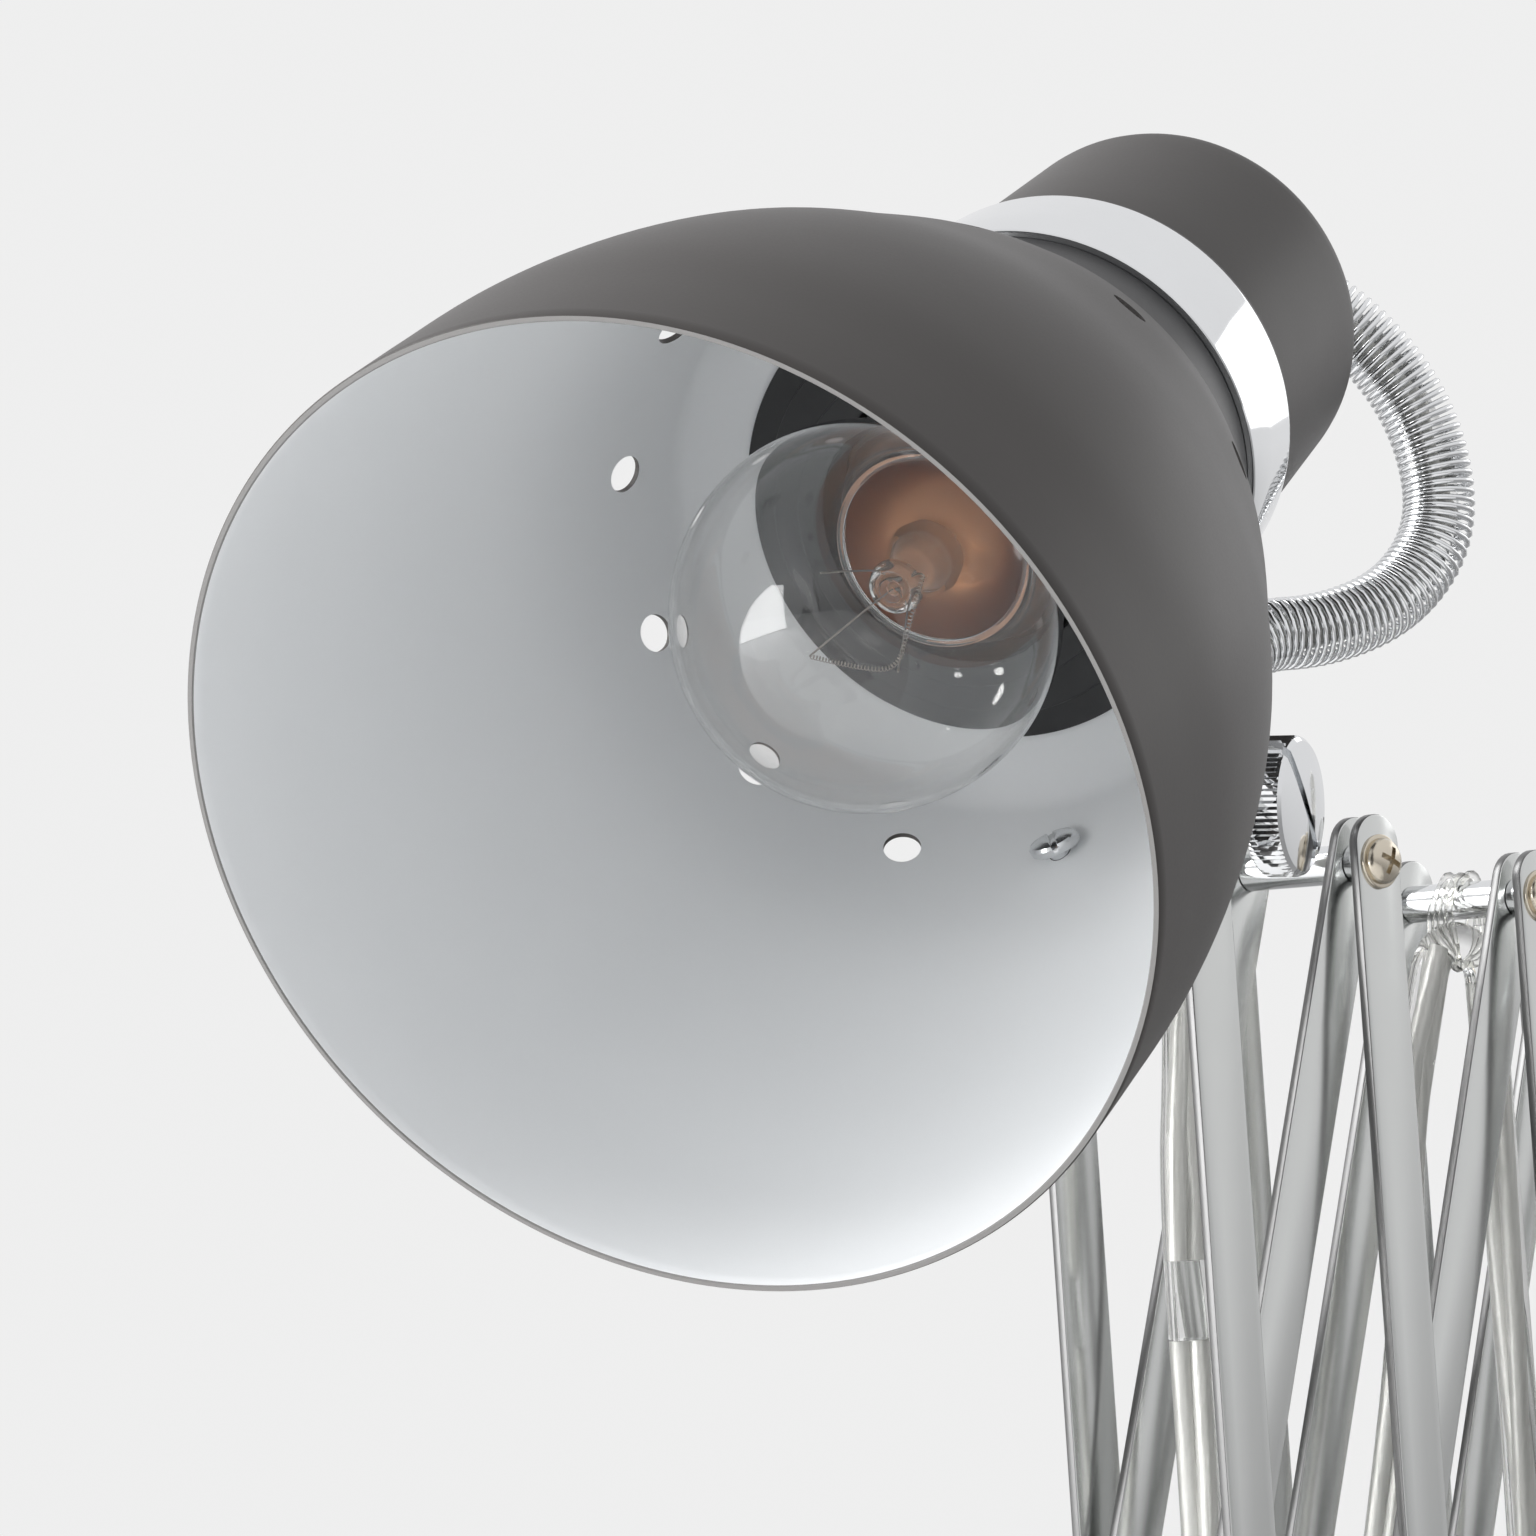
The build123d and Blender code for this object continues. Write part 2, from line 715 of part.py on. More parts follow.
# Lead: inside the spring, down between the planes of links, to the first outer links.
lead_points = [tuple(station(cap_end - 18))] + loop_points + lead_end
lead_points += [
    beside(head_pivot_y, row_height, -1, 62, wrap),
    beside(head_pivot_y, row_height, -1, 88, wrap),
]
lead_radii = corner_radii(lead_points)
with BuildPart() as flex_lead:
    lead_length = tube(lead_points, lead_radii, flex_radius)
keep(flex_lead, "flex_lead")

# The spring round it starts at the gland and ends halfway along the run after its last corner.
spring_end = (Vector(*loop_points[-1]) + Vector(*lead_end[0])) / 2
spring_points = [tuple(gland_exit)] + loop_points + [tuple(spring_end)]
with BuildPart() as lead_spring:
    spring_length = tube(spring_points, lead_radii[: len(loop_points)], spring_radius, 5.6)
keep(lead_spring, "lead_spring")
print("lead radii", [round(radius, 1) for radius in lead_radii], "length", round(lead_length, 1))


def hooked_run(points, centre, radius, start_angle, end_angle):
    """Straight runs that end in an arc; its angles are from +Y, in the YZ plane."""
    plane = Plane(origin=centre, x_dir=(0, 1, 0), z_dir=(1, 0, 0))
    with BuildLine(mode=Mode.PRIVATE) as route:
        FilletPolyline(*points, radius=corner_radii(points))
        with BuildLine(plane):
            CenterArc((0, 0), radius, start_angle, end_angle - start_angle)
    path = route.wires()[0]
    towards = Vector(*points[1]) - Vector(*points[0])
    with BuildSketch(Plane(origin=points[0], z_dir=towards)) as section:
        Circle(flex_radius)
    sweep(section.sketch, path=path)


lean_degrees = degrees(lean)
full = 2 * half_link
past_middle = 40.0  # the flex passes the middle rod before it crosses its links
crossed = 36.0  # and is across this far from the rod it turns round


# Under a top rod the flex hangs in a tight bend, tied to the rod.
hang_radius = 8.0
hang_drop = rod_radius + flex_radius + 0.5 + hang_radius
hang_offset = hang_radius - hang_drop * sin(lean)
hang_start = hang_drop * cos(lean)

for index in (1, 3):
    y = top_y(index - 1)
    begin, offset_there = (88.1, wrap) if index == 1 else (hang_start, hang_offset)
    # Down the outer links: on their +Y side past the middle rod, then round the bottom rod.
    points = [
        beside(y, row_height, -1, begin, offset_there),
        beside(y, row_height, -1, half_link + past_middle, wrap + 0.4),
        beside(y, row_height, -1, full - crossed, -wrap),
        beside(y, row_height, -1, full, -wrap),
    ]
    with BuildPart() as flex_down:
        hooked_run(points, (0, top_y(index), bottom_z), wrap, 180 + lean_degrees, 360 - lean_degrees)
    keep(flex_down, "flex_run_" + str(index))

arch_z = row_height + 43
for index in (2, stages):
    y = top_y(index)
    # Up the inner links: +Y side past the middle rod, then across towards the top rod.
    points = [
        beside(y, row_height, 1, full, wrap),
        beside(y, row_height, 1, half_link - past_middle, wrap + 0.4),
    ]
    with BuildPart() as flex_up:
        if index == stages:
            # Past the top pin, over in an arch and down into the post.
            points += [
                beside(y, row_height, 1, crossed, -wrap),
                (0.0, y - wrap - 0.6, row_height + 4),
                (0.0, y - wrap + 0.4, arch_z),
                (0.0, 0.0, arch_z),
                (0.0, 0.0, row_height + 19),
            ]
            tube(points, corner_radii(points, 0.49), flex_radius)
        else:
            points += [
                beside(y, row_height, 1, crossed + hang_start, -hang_offset),
                beside(y, row_height, 1, hang_start, -hang_offset),
            ]
            hang_centre = (0, y, row_height - hang_drop)
            hooked_run(points, hang_centre, hang_radius, 180 - lean_degrees, lean_degrees)
    keep(flex_up, "flex_run_" + str(index))

# ---- free tail: gland, cord, coil and plug ----

flex_rest = flex_radius + 0.2

with BuildPart() as tail_gland:
    with BuildSketch(Plane(origin=(post_radius + 0.1, 0, 21), z_dir=(1, 0, 0))):
        Circle(4.45)
    extrude(amount=11.9)
    with BuildSketch(Plane(origin=(17.1, 0, 21), z_dir=(1, 0, 0))):
        Circle(7)
    extrude(amount=5, taper=8)
    with BuildSketch(Plane(origin=(22.1, 0, 21), z_dir=(1, 0, 0))):
        Circle(5.2)
    extrude(amount=10, taper=6)
keep(tail_gland, "tail_gland")

coil_centre = (165.0, -55.0)
coil_outer = 50.8  # centre line of the outermost turn
coil_turns = 3  # in each of two layers, a diameter apart
coil_inner = coil_outer - coil_turns * 2 * flex_radius
coil_entry = (coil_centre[0], coil_centre[1] + coil_outer, flex_rest)
tail_points = [
    (32.15, 0.0, 21.0),
    (50.0, 0.0, 21.0),
    (68.0, 0.6, 16.5),
    (87.0, 1.5, 9.5),
    (107.0, 1.5, 5.0),
    (127.0, -1.0, flex_rest),
    (147.0, -3.6, flex_rest),
    coil_entry,
]
with BuildPart() as tail_cord:
    tail_radii = corner_radii(tail_points)
    tail_length = tube(tail_points, tail_radii, flex_radius)
keep(tail_cord, "tail_cord")

with BuildPart() as cord_coil:
    with BuildSketch(Plane(origin=(*coil_centre, flex_rest - flex_radius))):
        Circle(coil_outer + flex_radius)
        Circle(coil_inner - flex_radius, mode=Mode.SUBTRACT)
    extrude(amount=4 * flex_radius)
keep(cord_coil, "cord_coil")

plug_height = 8.5
plug_points = [
    (coil_entry[0], coil_entry[1], flex_rest + 2 * flex_radius),
    (185.0, -4.0, 10.6),
    (205.0, -6.5, 9.0),
    (223.0, -13.5, plug_height),
    (238.0, -24.5, plug_height),
]
with BuildPart() as plug_cord:
    plug_radii = corner_radii(plug_points)
    plug_cord_length = tube(plug_points, plug_radii, flex_radius)
keep(plug_cord, "plug_cord")

plug_start = Vector(*plug_points[-1])
plug_way = (plug_start - Vector(*plug_points[-2])).normalized()
plug_across = plug_way.cross(rise)


def plug_section(distance):
    """Plane square to the plug, at a distance from where the cord enters."""
    return Plane(origin=plug_start + plug_way * distance, x_dir=plug_across, z_dir=plug_way)


with BuildPart() as plug_body:
    with BuildSketch(plug_section(0.05)):
        SlotOverall(13, 10)
    with BuildSketch(plug_section(16)):
        SlotOverall(24, 14)
    loft()
    with BuildSketch(plug_section(16)):
        SlotOverall(24, 14)
    with BuildSketch(plug_section(36)):
        SlotOverall(35, 16)
    loft()
keep(plug_body, "plug_body")

with BuildPart() as plug_pins:
    with BuildSketch(plug_section(36)):
        with Locations((9.5, 0), (-9.5, 0)):
            Circle(2.0)
    extrude(amount=17)
    pin_ends = plug_pins.faces().group_by(Axis(tuple(plug_start), tuple(plug_way)))[-1]
    chamfer(pin_ends.edges(), 0.7)
keep(plug_pins, "plug_pins")

print("tail radii", [round(radius, 1) for radius in tail_radii], "length", round(tail_length, 1))
print("plug radii", [round(radius, 1) for radius in plug_radii], "length", round(plug_cord_length, 1))
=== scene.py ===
"""Scissor-arm desk lamp: its detailed pieces, their finishes, the free cord, the light and the camera."""

from math import asin, cos, pi, radians, sin

import bmesh
import bpy
from mathutils import Matrix, Vector


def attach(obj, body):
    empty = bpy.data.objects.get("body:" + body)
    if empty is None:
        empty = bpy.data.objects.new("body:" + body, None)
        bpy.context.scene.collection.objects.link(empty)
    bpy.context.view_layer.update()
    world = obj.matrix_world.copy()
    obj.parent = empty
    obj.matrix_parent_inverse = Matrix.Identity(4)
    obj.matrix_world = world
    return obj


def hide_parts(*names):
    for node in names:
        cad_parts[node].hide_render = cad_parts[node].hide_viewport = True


bl_info = {
    "name": "Scissor-arm desk lamp",
    "version": (1, 0, 0),
    "blender": (4, 5, 0),
    "location": "3D View > Sidebar > Lamp",
    "description": "Builds the lamp's pieces, finishes and stage on its packed frame",
    "category": "Object",
}

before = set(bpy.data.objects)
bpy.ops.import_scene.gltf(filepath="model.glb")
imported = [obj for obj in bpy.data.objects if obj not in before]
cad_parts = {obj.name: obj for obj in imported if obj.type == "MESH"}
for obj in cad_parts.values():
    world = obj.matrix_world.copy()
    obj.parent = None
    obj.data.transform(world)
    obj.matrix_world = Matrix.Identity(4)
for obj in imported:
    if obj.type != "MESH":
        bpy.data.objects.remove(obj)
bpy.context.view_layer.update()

MM = 0.001

# ---- the lamp's own measures, in millimetres and degrees, the same as in the CAD source ----

STAGES = 4
PIVOT_SPACING = 44.7
HALF_LINK = 132.5
ROW_HEIGHT = 360.0
HEAD_PIVOT_Y = -20.0 - STAGES * PIVOT_SPACING
LEAN = asin(PIVOT_SPACING / 2 / HALF_LINK)
MIDDLE_Z = ROW_HEIGHT - HALF_LINK * cos(LEAN)
BOTTOM_Z = ROW_HEIGHT - 2 * HALF_LINK * cos(LEAN)
OUTER_X = 17.0
INNER_X = 11.5
STRIP = 2.0
ROD_RADIUS = 3.5
FLEX_RADIUS = 3.6
WRAP = ROD_RADIUS + FLEX_RADIUS + 0.3

YAW = radians(22.95)
PITCH = radians(34.1)
PIVOT = Vector((0, HEAD_PIVOT_Y, ROW_HEIGHT))
ALONG = Vector((-sin(YAW), cos(YAW), 0))
SIDE = Vector((cos(YAW), sin(YAW), 0))
RISE = Vector((0, 0, 1))
HEAD_AXIS = ALONG * cos(PITCH) + RISE * sin(PITCH)
HEAD_UP = RISE * cos(PITCH) - ALONG * sin(PITCH)
MOUTH = PIVOT + ALONG * -165.2 + SIDE * -2.5 + RISE * -25.9

SHADE_OUTLINE = [
    (73, 0), (73, 14), (72.7, 32), (70.6, 50), (66.9, 67), (60.5, 86), (54, 104.5), (46.8, 121),
]
VENT_COUNT = 12
FIRST_VENT = 13.1
VENT_STATION = 103.0
VENT_CIRCLE = 53.6
VENT_RADIUS = 3.3
SCREW_HOLE_RADIUS = 2.1
VENT_SLOPE = Vector((18.5, 6.5)).normalized()  # of the shade's wall: outward, along the axis


def head_point(u, k, z):
    """Point from the head pivot: u backwards, k towards the knob, z up."""
    return PIVOT + ALONG * u + SIDE * k + RISE * z


def station(z, radius=0.0, angle=0.0):
    """Point on the head's axis at z, or round it; the angle is from the underside towards the knob."""
    turn = radians(angle)
    return MOUTH + HEAD_AXIS * z + (SIDE * sin(turn) - HEAD_UP * cos(turn)) * radius


class Spindle:
    """An axis that round pieces are turned about: a start, a direction and two square directions."""

    def __init__(self, start, direction, across):
        self.start = Vector(start)
        self.direction = Vector(direction).normalized()
        self.x = Vector(across).normalized()
        self.y = self.direction.cross(self.x)

    def at(self, radius, z, turn=0.0):
        return self.start + self.direction * z + (self.x * cos(turn) + self.y * sin(turn)) * radius


HEAD = Spindle(MOUTH, HEAD_AXIS, -HEAD_UP)
BULB_SHIFT = 6.0
BULB = Spindle(station(BULB_SHIFT), HEAD_AXIS, -HEAD_UP)
TILT = Spindle(head_point(13, 0, 6.5), SIDE, RISE)


# ---- mesh helpers ----


def link_object(name, data):
    made = bpy.data.objects.new(name, data)
    bpy.context.scene.collection.objects.link(made)
    return made


def solid(name, points, faces, finishes, groups=None, sharp=35):
    """Object from points in millimetres; groups gives each face's finish."""
    mesh = bpy.data.meshes.new(name)
    mesh.from_pydata([tuple(Vector(point) * MM) for point in points], [], faces)
    for finish in finishes:
        mesh.materials.append(finish)
    mesh.polygons.foreach_set("use_smooth", [True] * len(mesh.polygons))
    if groups:
        mesh.polygons.foreach_set("material_index", groups)
    mesh.validate()
    shell = bmesh.new()
    shell.from_mesh(mesh)
    bmesh.ops.recalc_face_normals(shell, faces=shell.faces)
    shell.to_mesh(mesh)
    shell.free()
    mesh.set_sharp_from_angle(angle=radians(sharp))
    return link_object(name, mesh)


def turned(spindle, outline, segments=96, closed=True, ripple=None):
    """Points and faces of a turned outline of (radius, z); a radius of 0 closes it with a fan."""
    points = []
    rows = []
    for index, (radius, z) in enumerate(outline):
        if radius < 0.001:
            rows.append([len(points)] * segments)
            points.append(spindle.at(0, z))
            continue
        rows.append(list(range(len(points), len(points) + segments)))
        for step in range(segments):
            reach = radius + (ripple(index, step) if ripple else 0.0)
            points.append(spindle.at(reach, z, 2 * pi * step / segments))
    faces = []
    pairs = list(zip(rows, rows[1:]))
    if closed:
        pairs.append((rows[-1], rows[0]))
    for low, high in pairs:
        for step in range(segments):
            after = (step + 1) % segments
            corners = [low[step], low[after], high[after], high[step]]
            face = list(dict.fromkeys(corners))
            if len(face) > 2:
                faces.append(face)
    return points, faces


def rounded(outline, radius, steps=3):
    """The closed outline with its corners rounded off."""
    result = []
    count = len(outline)
    for index in range(count):
        corner = Vector(outline[index])
        before = Vector(outline[index - 1]) - corner
        after = Vector(outline[(index + 1) % count]) - corner
        if corner.x < 0.001 or before.length < 1e-6 or after.length < 1e-6:
            result.append(tuple(corner))
            continue
        cut = min(radius, before.length * 0.4, after.length * 0.4)
        start = corner + before.normalized() * cut
        end = corner + after.normalized() * cut
        for step in range(steps + 1):
            share = step / steps
            point = start * (1 - share) ** 2 + corner * 2 * share * (1 - share) + end * share**2
            result.append(tuple(point))
    return result


def merged(parts):
    """Several (points, faces) as one."""
    points = []
    faces = []
    for some_points, some_faces in parts:
        base = len(points)
        points += some_points
        faces += [[base + corner for corner in face] for face in some_faces]
    return points, faces


def box_solid(centre, x, y, z, half):
    """A block with half sizes along three directions."""
    points = []
    for a in (-1, 1):
        for b in (-1, 1):
            for c in (-1, 1):
                points.append(centre + x * a * half[0] + y * b * half[1] + z * c * half[2])
    faces = [[0, 1, 3, 2], [4, 6, 7, 5], [0, 4, 5, 1], [2, 3, 7, 6], [0, 2, 6, 4], [1, 5, 7, 3]]
    return points, faces


def cut_away(piece, cutter_parts):
    """Take the cutters out of a piece."""
    points, faces = merged(cutter_parts)
    cutter = solid("cutter", points, faces, [])
    step = piece.modifiers.new("cut", "BOOLEAN")
    step.operation = "DIFFERENCE"
    step.solver = "EXACT"
    step.object = cutter
    settle(piece)
    bpy.data.objects.remove(cutter)


def settle(piece):
    """Apply a piece's modifiers to its mesh."""
    bpy.context.view_layer.update()
    shaped = bpy.data.meshes.new_from_object(piece.evaluated_get(bpy.context.evaluated_depsgraph_get()))
    piece.modifiers.clear()
    piece.data = shaped


def route_line(points):
    """Close points, in millimetres, along the smooth line that a route's points control."""
    curve = route_curve("route", points)
    holder = bpy.data.objects.new("route", curve)
    mesh = bpy.data.meshes.new_from_object(holder)
    line = [vertex.co / MM for vertex in mesh.vertices]
    bpy.data.objects.remove(holder)
    bpy.data.curves.remove(curve)
    return line


def route_curve(name, points):
    """Curve of one open spline with a route's points as its control points."""
    curve = bpy.data.curves.new(name, "CURVE")
    curve.dimensions = "3D"
    curve.resolution_u = 24
    spline = curve.splines.new("NURBS")
    spline.points.add(len(points) - 1)
    for control, point in zip(spline.points, points):
        control.co = (*(Vector(point) * MM), 1)
    spline.order_u = 3
    spline.use_endpoint_u = True
    return curve


class Line:
    """Points along a line at a steady distance, each with two directions square to it."""

    def __init__(self, points, step):
        self.length = sum((b - a).length for a, b in zip(points, points[1:]))
        count = max(2, round(self.length / step))
        self.step = self.length / count
        self.places = []
        gone = 0.0
        leg = 0
        for index in range(count + 1):
            wanted = self.step * index
            while leg < len(points) - 2 and gone + (points[leg + 1] - points[leg]).length < wanted:
                gone += (points[leg + 1] - points[leg]).length
                leg += 1
            run = points[leg + 1] - points[leg]
            share = (wanted - gone) / max(run.length, 1e-9)
            self.places.append(points[leg] + run * min(share, 1.0))
        self.square = []
        first = self.direction(0)
        normal = first.orthogonal().normalized()
        for index in range(count + 1):
            way = self.direction(index)
            normal = (normal - way * normal.dot(way)).normalized()
            self.square.append((normal, way.cross(normal)))

    def direction(self, index):
        before = self.places[max(index - 1, 0)]
        after = self.places[min(index + 1, len(self.places) - 1)]
        return (after - before).normalized()

    def beside(self, index, reach, turn):
        a, b = self.square[index]
        return self.places[index] + (a * cos(turn) + b * sin(turn)) * reach


def swept(line, radius, sides=16, ends=True):
    """Round tube along a Line; radius may be a number or a function of the distance."""
    points = []
    faces = []
    for index in range(len(line.places)):
        reach = radius(index * line.step) if callable(radius) else radius
        for side in range(sides):
            points.append(line.beside(index, reach, 2 * pi * side / sides))
    for index in range(len(line.places) - 1):
        for side in range(sides):
            after = (side + 1) % sides
            low = index * sides
            faces.append([low + side, low + after, low + sides + after, low + sides + side])
    if ends:
        faces.append(list(range(sides))[::-1])
        faces.append(list(range(len(points) - sides, len(points))))
    return points, faces


def wound(line, reach, pitch, per_turn=14, start=0.0, stop=None, phase=0.0):
    """Points of a helix round a Line; pitch may be a function of the share of the way along."""
    stop = line.length if stop is None else stop
    points = []
    travelled = start
    turn = phase
    while travelled <= stop:
        index = min(int(travelled / line.step), len(line.places) - 2)
        share = travelled / line.step - index
        here = line.beside(index, reach, turn)
        there = line.beside(index + 1, reach, turn)
        points.append(here.lerp(there, share))
        advance = pitch(travelled / line.length) if callable(pitch) else pitch
        travelled += advance / per_turn
        turn += 2 * pi / per_turn
    return points


def wire_along(points, radius, sides=8):
    """Tube whose rings stand at the given points."""
    line = Line.__new__(Line)
    line.places = points
    line.step = 1.0
    line.length = float(len(points))
    line.square = []
    normal = line.direction(0).orthogonal().normalized()
    for index in range(len(points)):
        way = line.direction(index)
        normal = (normal - way * normal.dot(way)).normalized()
        line.square.append((normal, way.cross(normal)))
    return swept(line, radius, sides)


# ---- finishes ----


class Value:
    """A socket that takes part in sums; each sum adds its Math node."""

    def __init__(self, finish, socket):
        self.finish = finish
        self.socket = socket

    def sum(self, operation, *terms):
        made = self.finish.node("Math", {"operation": operation}, dict(enumerate(terms)))
        return Value(self.finish, made.outputs[0])

    def __add__(self, other):
        return self.sum("ADD", self, other)

    __radd__ = __add__

    def __mul__(self, other):
        return self.sum("MULTIPLY", self, other)

    __rmul__ = __mul__

    def __sub__(self, other):
        return self.sum("SUBTRACT", self, other)

    def __rsub__(self, other):
        return self.sum("SUBTRACT", other, self)

    def __truediv__(self, other):
        return self.sum("DIVIDE", self, other)

    def __pow__(self, other):
        return self.sum("POWER", self, other)


class Finish:
    """A material whose nodes are written in Python."""

    def __init__(self, name):
        self.material = bpy.data.materials.new(name)
        self.material.use_nodes = True
        self.tree = self.material.node_tree
        self.tree.nodes.clear()
        self.output = self.node("OutputMaterial")
        self.shader = self.node("BsdfPrincipled")
        self.tree.links.new(self.shader.outputs[0], self.output.inputs[0])

    def node(self, kind, settings=None, inputs=None):
        made = self.tree.nodes.new("ShaderNode" + kind)
        for key, setting in (settings or {}).items():
            if key == "stops":
                ramp = made.color_ramp
                while len(ramp.elements) < len(setting):
                    ramp.elements.new(0.5)
                for element, (position, colour) in zip(ramp.elements, setting):
                    element.position = position
                    element.color = (*colour, 1) if len(colour) == 3 else colour
            else:
                setattr(made, key, setting)
        for key, value in (inputs or {}).items():
            self.feed(made.inputs[key], value)
        return made

    def feed(self, socket, value):
        if isinstance(value, Value):
            self.tree.links.new(value.socket, socket)
        elif socket.type == "RGBA" and len(value) == 3:
            socket.default_value = (*value, 1)
        else:
            socket.default_value = value

    def out(self, node, name=0):
        return Value(self, node.outputs[name])

    def place(self):
        return self.out(self.node("TexCoord"), "Object")

    def noise(self, scale, detail=3.0, roughness=0.55, at=None):
        """Even noise from 0 to 1; the scale is in cells per metre."""
        spot = at if at is not None else self.place()
        made = self.node(
            "TexNoise", {}, {"Vector": spot, "Scale": scale, "Detail": detail, "Roughness": roughness},
        )
        return self.out(made, 0)

    def stretched(self, scales):
        made = self.node("Mapping", {"vector_type": "POINT"}, {"Vector": self.place(), "Scale": scales})
        return self.out(made)

    def between(self, factor, first, second):
        """Mix of two colours."""
        made = self.node("Mix", {"data_type": "RGBA"}, {0: factor, 6: first, 7: second})
        return self.out(made, 2)

    def bump(self, height, depth, strength=1.0):
        """Bump of a depth in millimetres."""
        made = self.node("Bump", {}, {"Height": height, "Distance": depth * MM, "Strength": strength})
        self.feed(self.shader.inputs["Normal"], self.out(made))

    def set(self, **sockets):
        for key, value in sockets.items():
            self.feed(self.shader.inputs[key.replace("_", " ")], value)
        return self


def painted(name, colour, roughness, peel=0.012, spread=0.10):
    """Sprayed satin paint: faint cloudiness, an orange-peel surface and fine dust in the coat."""
    finish = Finish(name)
    cloud = finish.noise(22.0, 4.0)
    grain = finish.noise(2600.0, 2.0)
    darker = tuple(part * (1 - spread) for part in colour)
    lighter = tuple(part * (1 + spread) for part in colour)
    finish.set(Base_Color=finish.between(cloud * 0.6 + grain * 0.4, darker, lighter))
    finish.set(Roughness=roughness + (cloud - 0.5) * 0.10 + (grain - 0.5) * 0.08, Specular_IOR_Level=0.2)
    peel_height = finish.noise(900.0, 2.0) * 0.6 + grain * 0.4
    finish.bump(peel_height, peel)
    return finish.material


def plated(name, colour, roughness, smudge=0.05, lay=None):
    """Bright plating: hazy smudges and, with lay, faint polishing lines along one direction."""
    finish = Finish(name)
    haze = finish.noise(60.0, 5.0)
    finish.set(Metallic=1.0)
    dull = tuple(part * 0.93 for part in colour)
    finish.set(Base_Color=finish.between(haze, dull, colour))
    rough = roughness + (haze**2) * smudge
    if lay is None:
        finish.set(Roughness=rough)
        finish.bump(finish.noise(160.0, 2.0), 0.006)
    else:
        lines = finish.noise(1.0, 3.0, at=finish.stretched(lay))
        finish.set(Roughness=rough + lines * 0.05)
        finish.bump(lines, 0.004)
    return finish.material


def moulded(name, colour, roughness, depth=0.02):
    """Spark-eroded moulded plastic."""
    finish = Finish(name)
    cells = finish.noise(3200.0, 2.0)
    cloud = finish.noise(40.0, 3.0)
    lighter = tuple(part * 1.25 for part in colour)
    finish.set(Base_Color=finish.between(cloud, colour, lighter))
    finish.set(Roughness=roughness + cells * 0.08 + cloud * 0.06)
    finish.bump(cells, depth)
    return finish.material


def clear(name, tint, ior, roughness=0.0, ripple=0.0):
    """Clear glass or plastic."""
    finish = Finish(name)
    finish.set(Base_Color=tint, IOR=ior, Transmission_Weight=1.0, Roughness=roughness)
    if ripple:
        finish.bump(finish.noise(120.0, 2.0), ripple)
    return finish.material


def stranded(name, colour):
    """Fine tinned wires lying along the flex: long bright and dark lines, painted highlights on the strands
    and painted shade between them, over patches of uneven tone.
    """
    finish = Finish(name)
    lines = finish.noise(1.0, 4.0, 0.6, at=finish.stretched((1500.0, 1500.0, 45.0)))
    patches = finish.noise(55.0, 3.0)
    # The darker colour is painted shade between the strands; the wire colour carries their painted highlights
    dark = tuple(part * 0.62 for part in colour)
    finish.set(Base_Color=finish.between(lines * 0.75 + patches * 0.25, dark, colour))
    finish.set(Metallic=0.35, Roughness=0.24 + patches * 0.14)
    finish.bump(lines, 0.1)
    return finish.material


FINISHES = {}


def finish_named(name):
    return FINISHES[name]


def make_finishes(look):
    paint = tuple(look.paint_colour)
    inside = tuple(look.inside_colour)
    chrome = tuple(look.chrome_colour)
    nickel = tuple(look.screw_colour)
    wires = tuple(look.wire_colour)
    FINISHES.update(
        shade_paint=painted("shade_paint", paint, look.paint_roughness),
        cap_paint=painted("cap_paint", tuple(part * 0.93 for part in paint), look.paint_roughness),
        shade_inside=painted("shade_inside", inside, 0.46, peel=0.010, spread=0.02),
        # Lighter grey for the shade's lip: a painted highlight along the rim
        rim_edge=painted("rim_edge", (0.24, 0.235, 0.23), 0.35, spread=0.06),
        chrome=plated("chrome", chrome, 0.045),
        strip=plated("strip", (0.67, 0.68, 0.67), 0.17, lay=(3000.0, 900.0, 60.0)),
        # Dark copy of the strip plating for the links' rounded edges: painted shade along the edges
        strip_edge=plated("strip_edge", (0.20, 0.20, 0.20), 0.3, smudge=0.2),
        rod=plated("rod", chrome, 0.07, lay=(900.0, 60.0, 60.0)),
        wire=plated("spring_wire", chrome, 0.10),
        nickel=plated("nickel", nickel, 0.20, smudge=0.12),
        screw_chrome=plated("screw_chrome", chrome, 0.22),
        brass=plated("brass", (0.62, 0.50, 0.30), 0.22, smudge=0.1),
        copper=plated("copper", (0.42, 0.20, 0.10), 0.34, smudge=0.25),
        tungsten=plated("tungsten", (0.34, 0.31, 0.28), 0.35),
        black=moulded("black_moulding", (0.014, 0.014, 0.015), 0.30),
        plug=moulded("plug_moulding", (0.022, 0.022, 0.023), 0.42, depth=0.03),
        rubber=moulded("pad_rubber", (0.03, 0.03, 0.03), 0.75, depth=0.05),
        glass=clear("bulb_glass", (0.995, 0.995, 0.99), 1.47),
        stem=clear("stem_glass", (0.98, 0.98, 0.975), 1.5, 0.0, ripple=0.15),
        jacket=clear("flex_jacket", (0.975, 0.975, 0.965), 1.36, 0.04, ripple=0.05),
        tie=clear("flex_tie", (0.97, 0.97, 0.95), 1.3, 0.12, ripple=0.5),
        strands=stranded("wire_strands", wires),
        collar=painted("collar_paint", tuple(part * 0.93 for part in paint), 0.42),
    )


def dress(node, finish):
    """Give a CAD node its finish."""
    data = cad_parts[node].data
    data.materials.clear()
    data.materials.append(finish_named(finish))
    data.polygons.foreach_set("material_index", [0] * len(data.polygons))


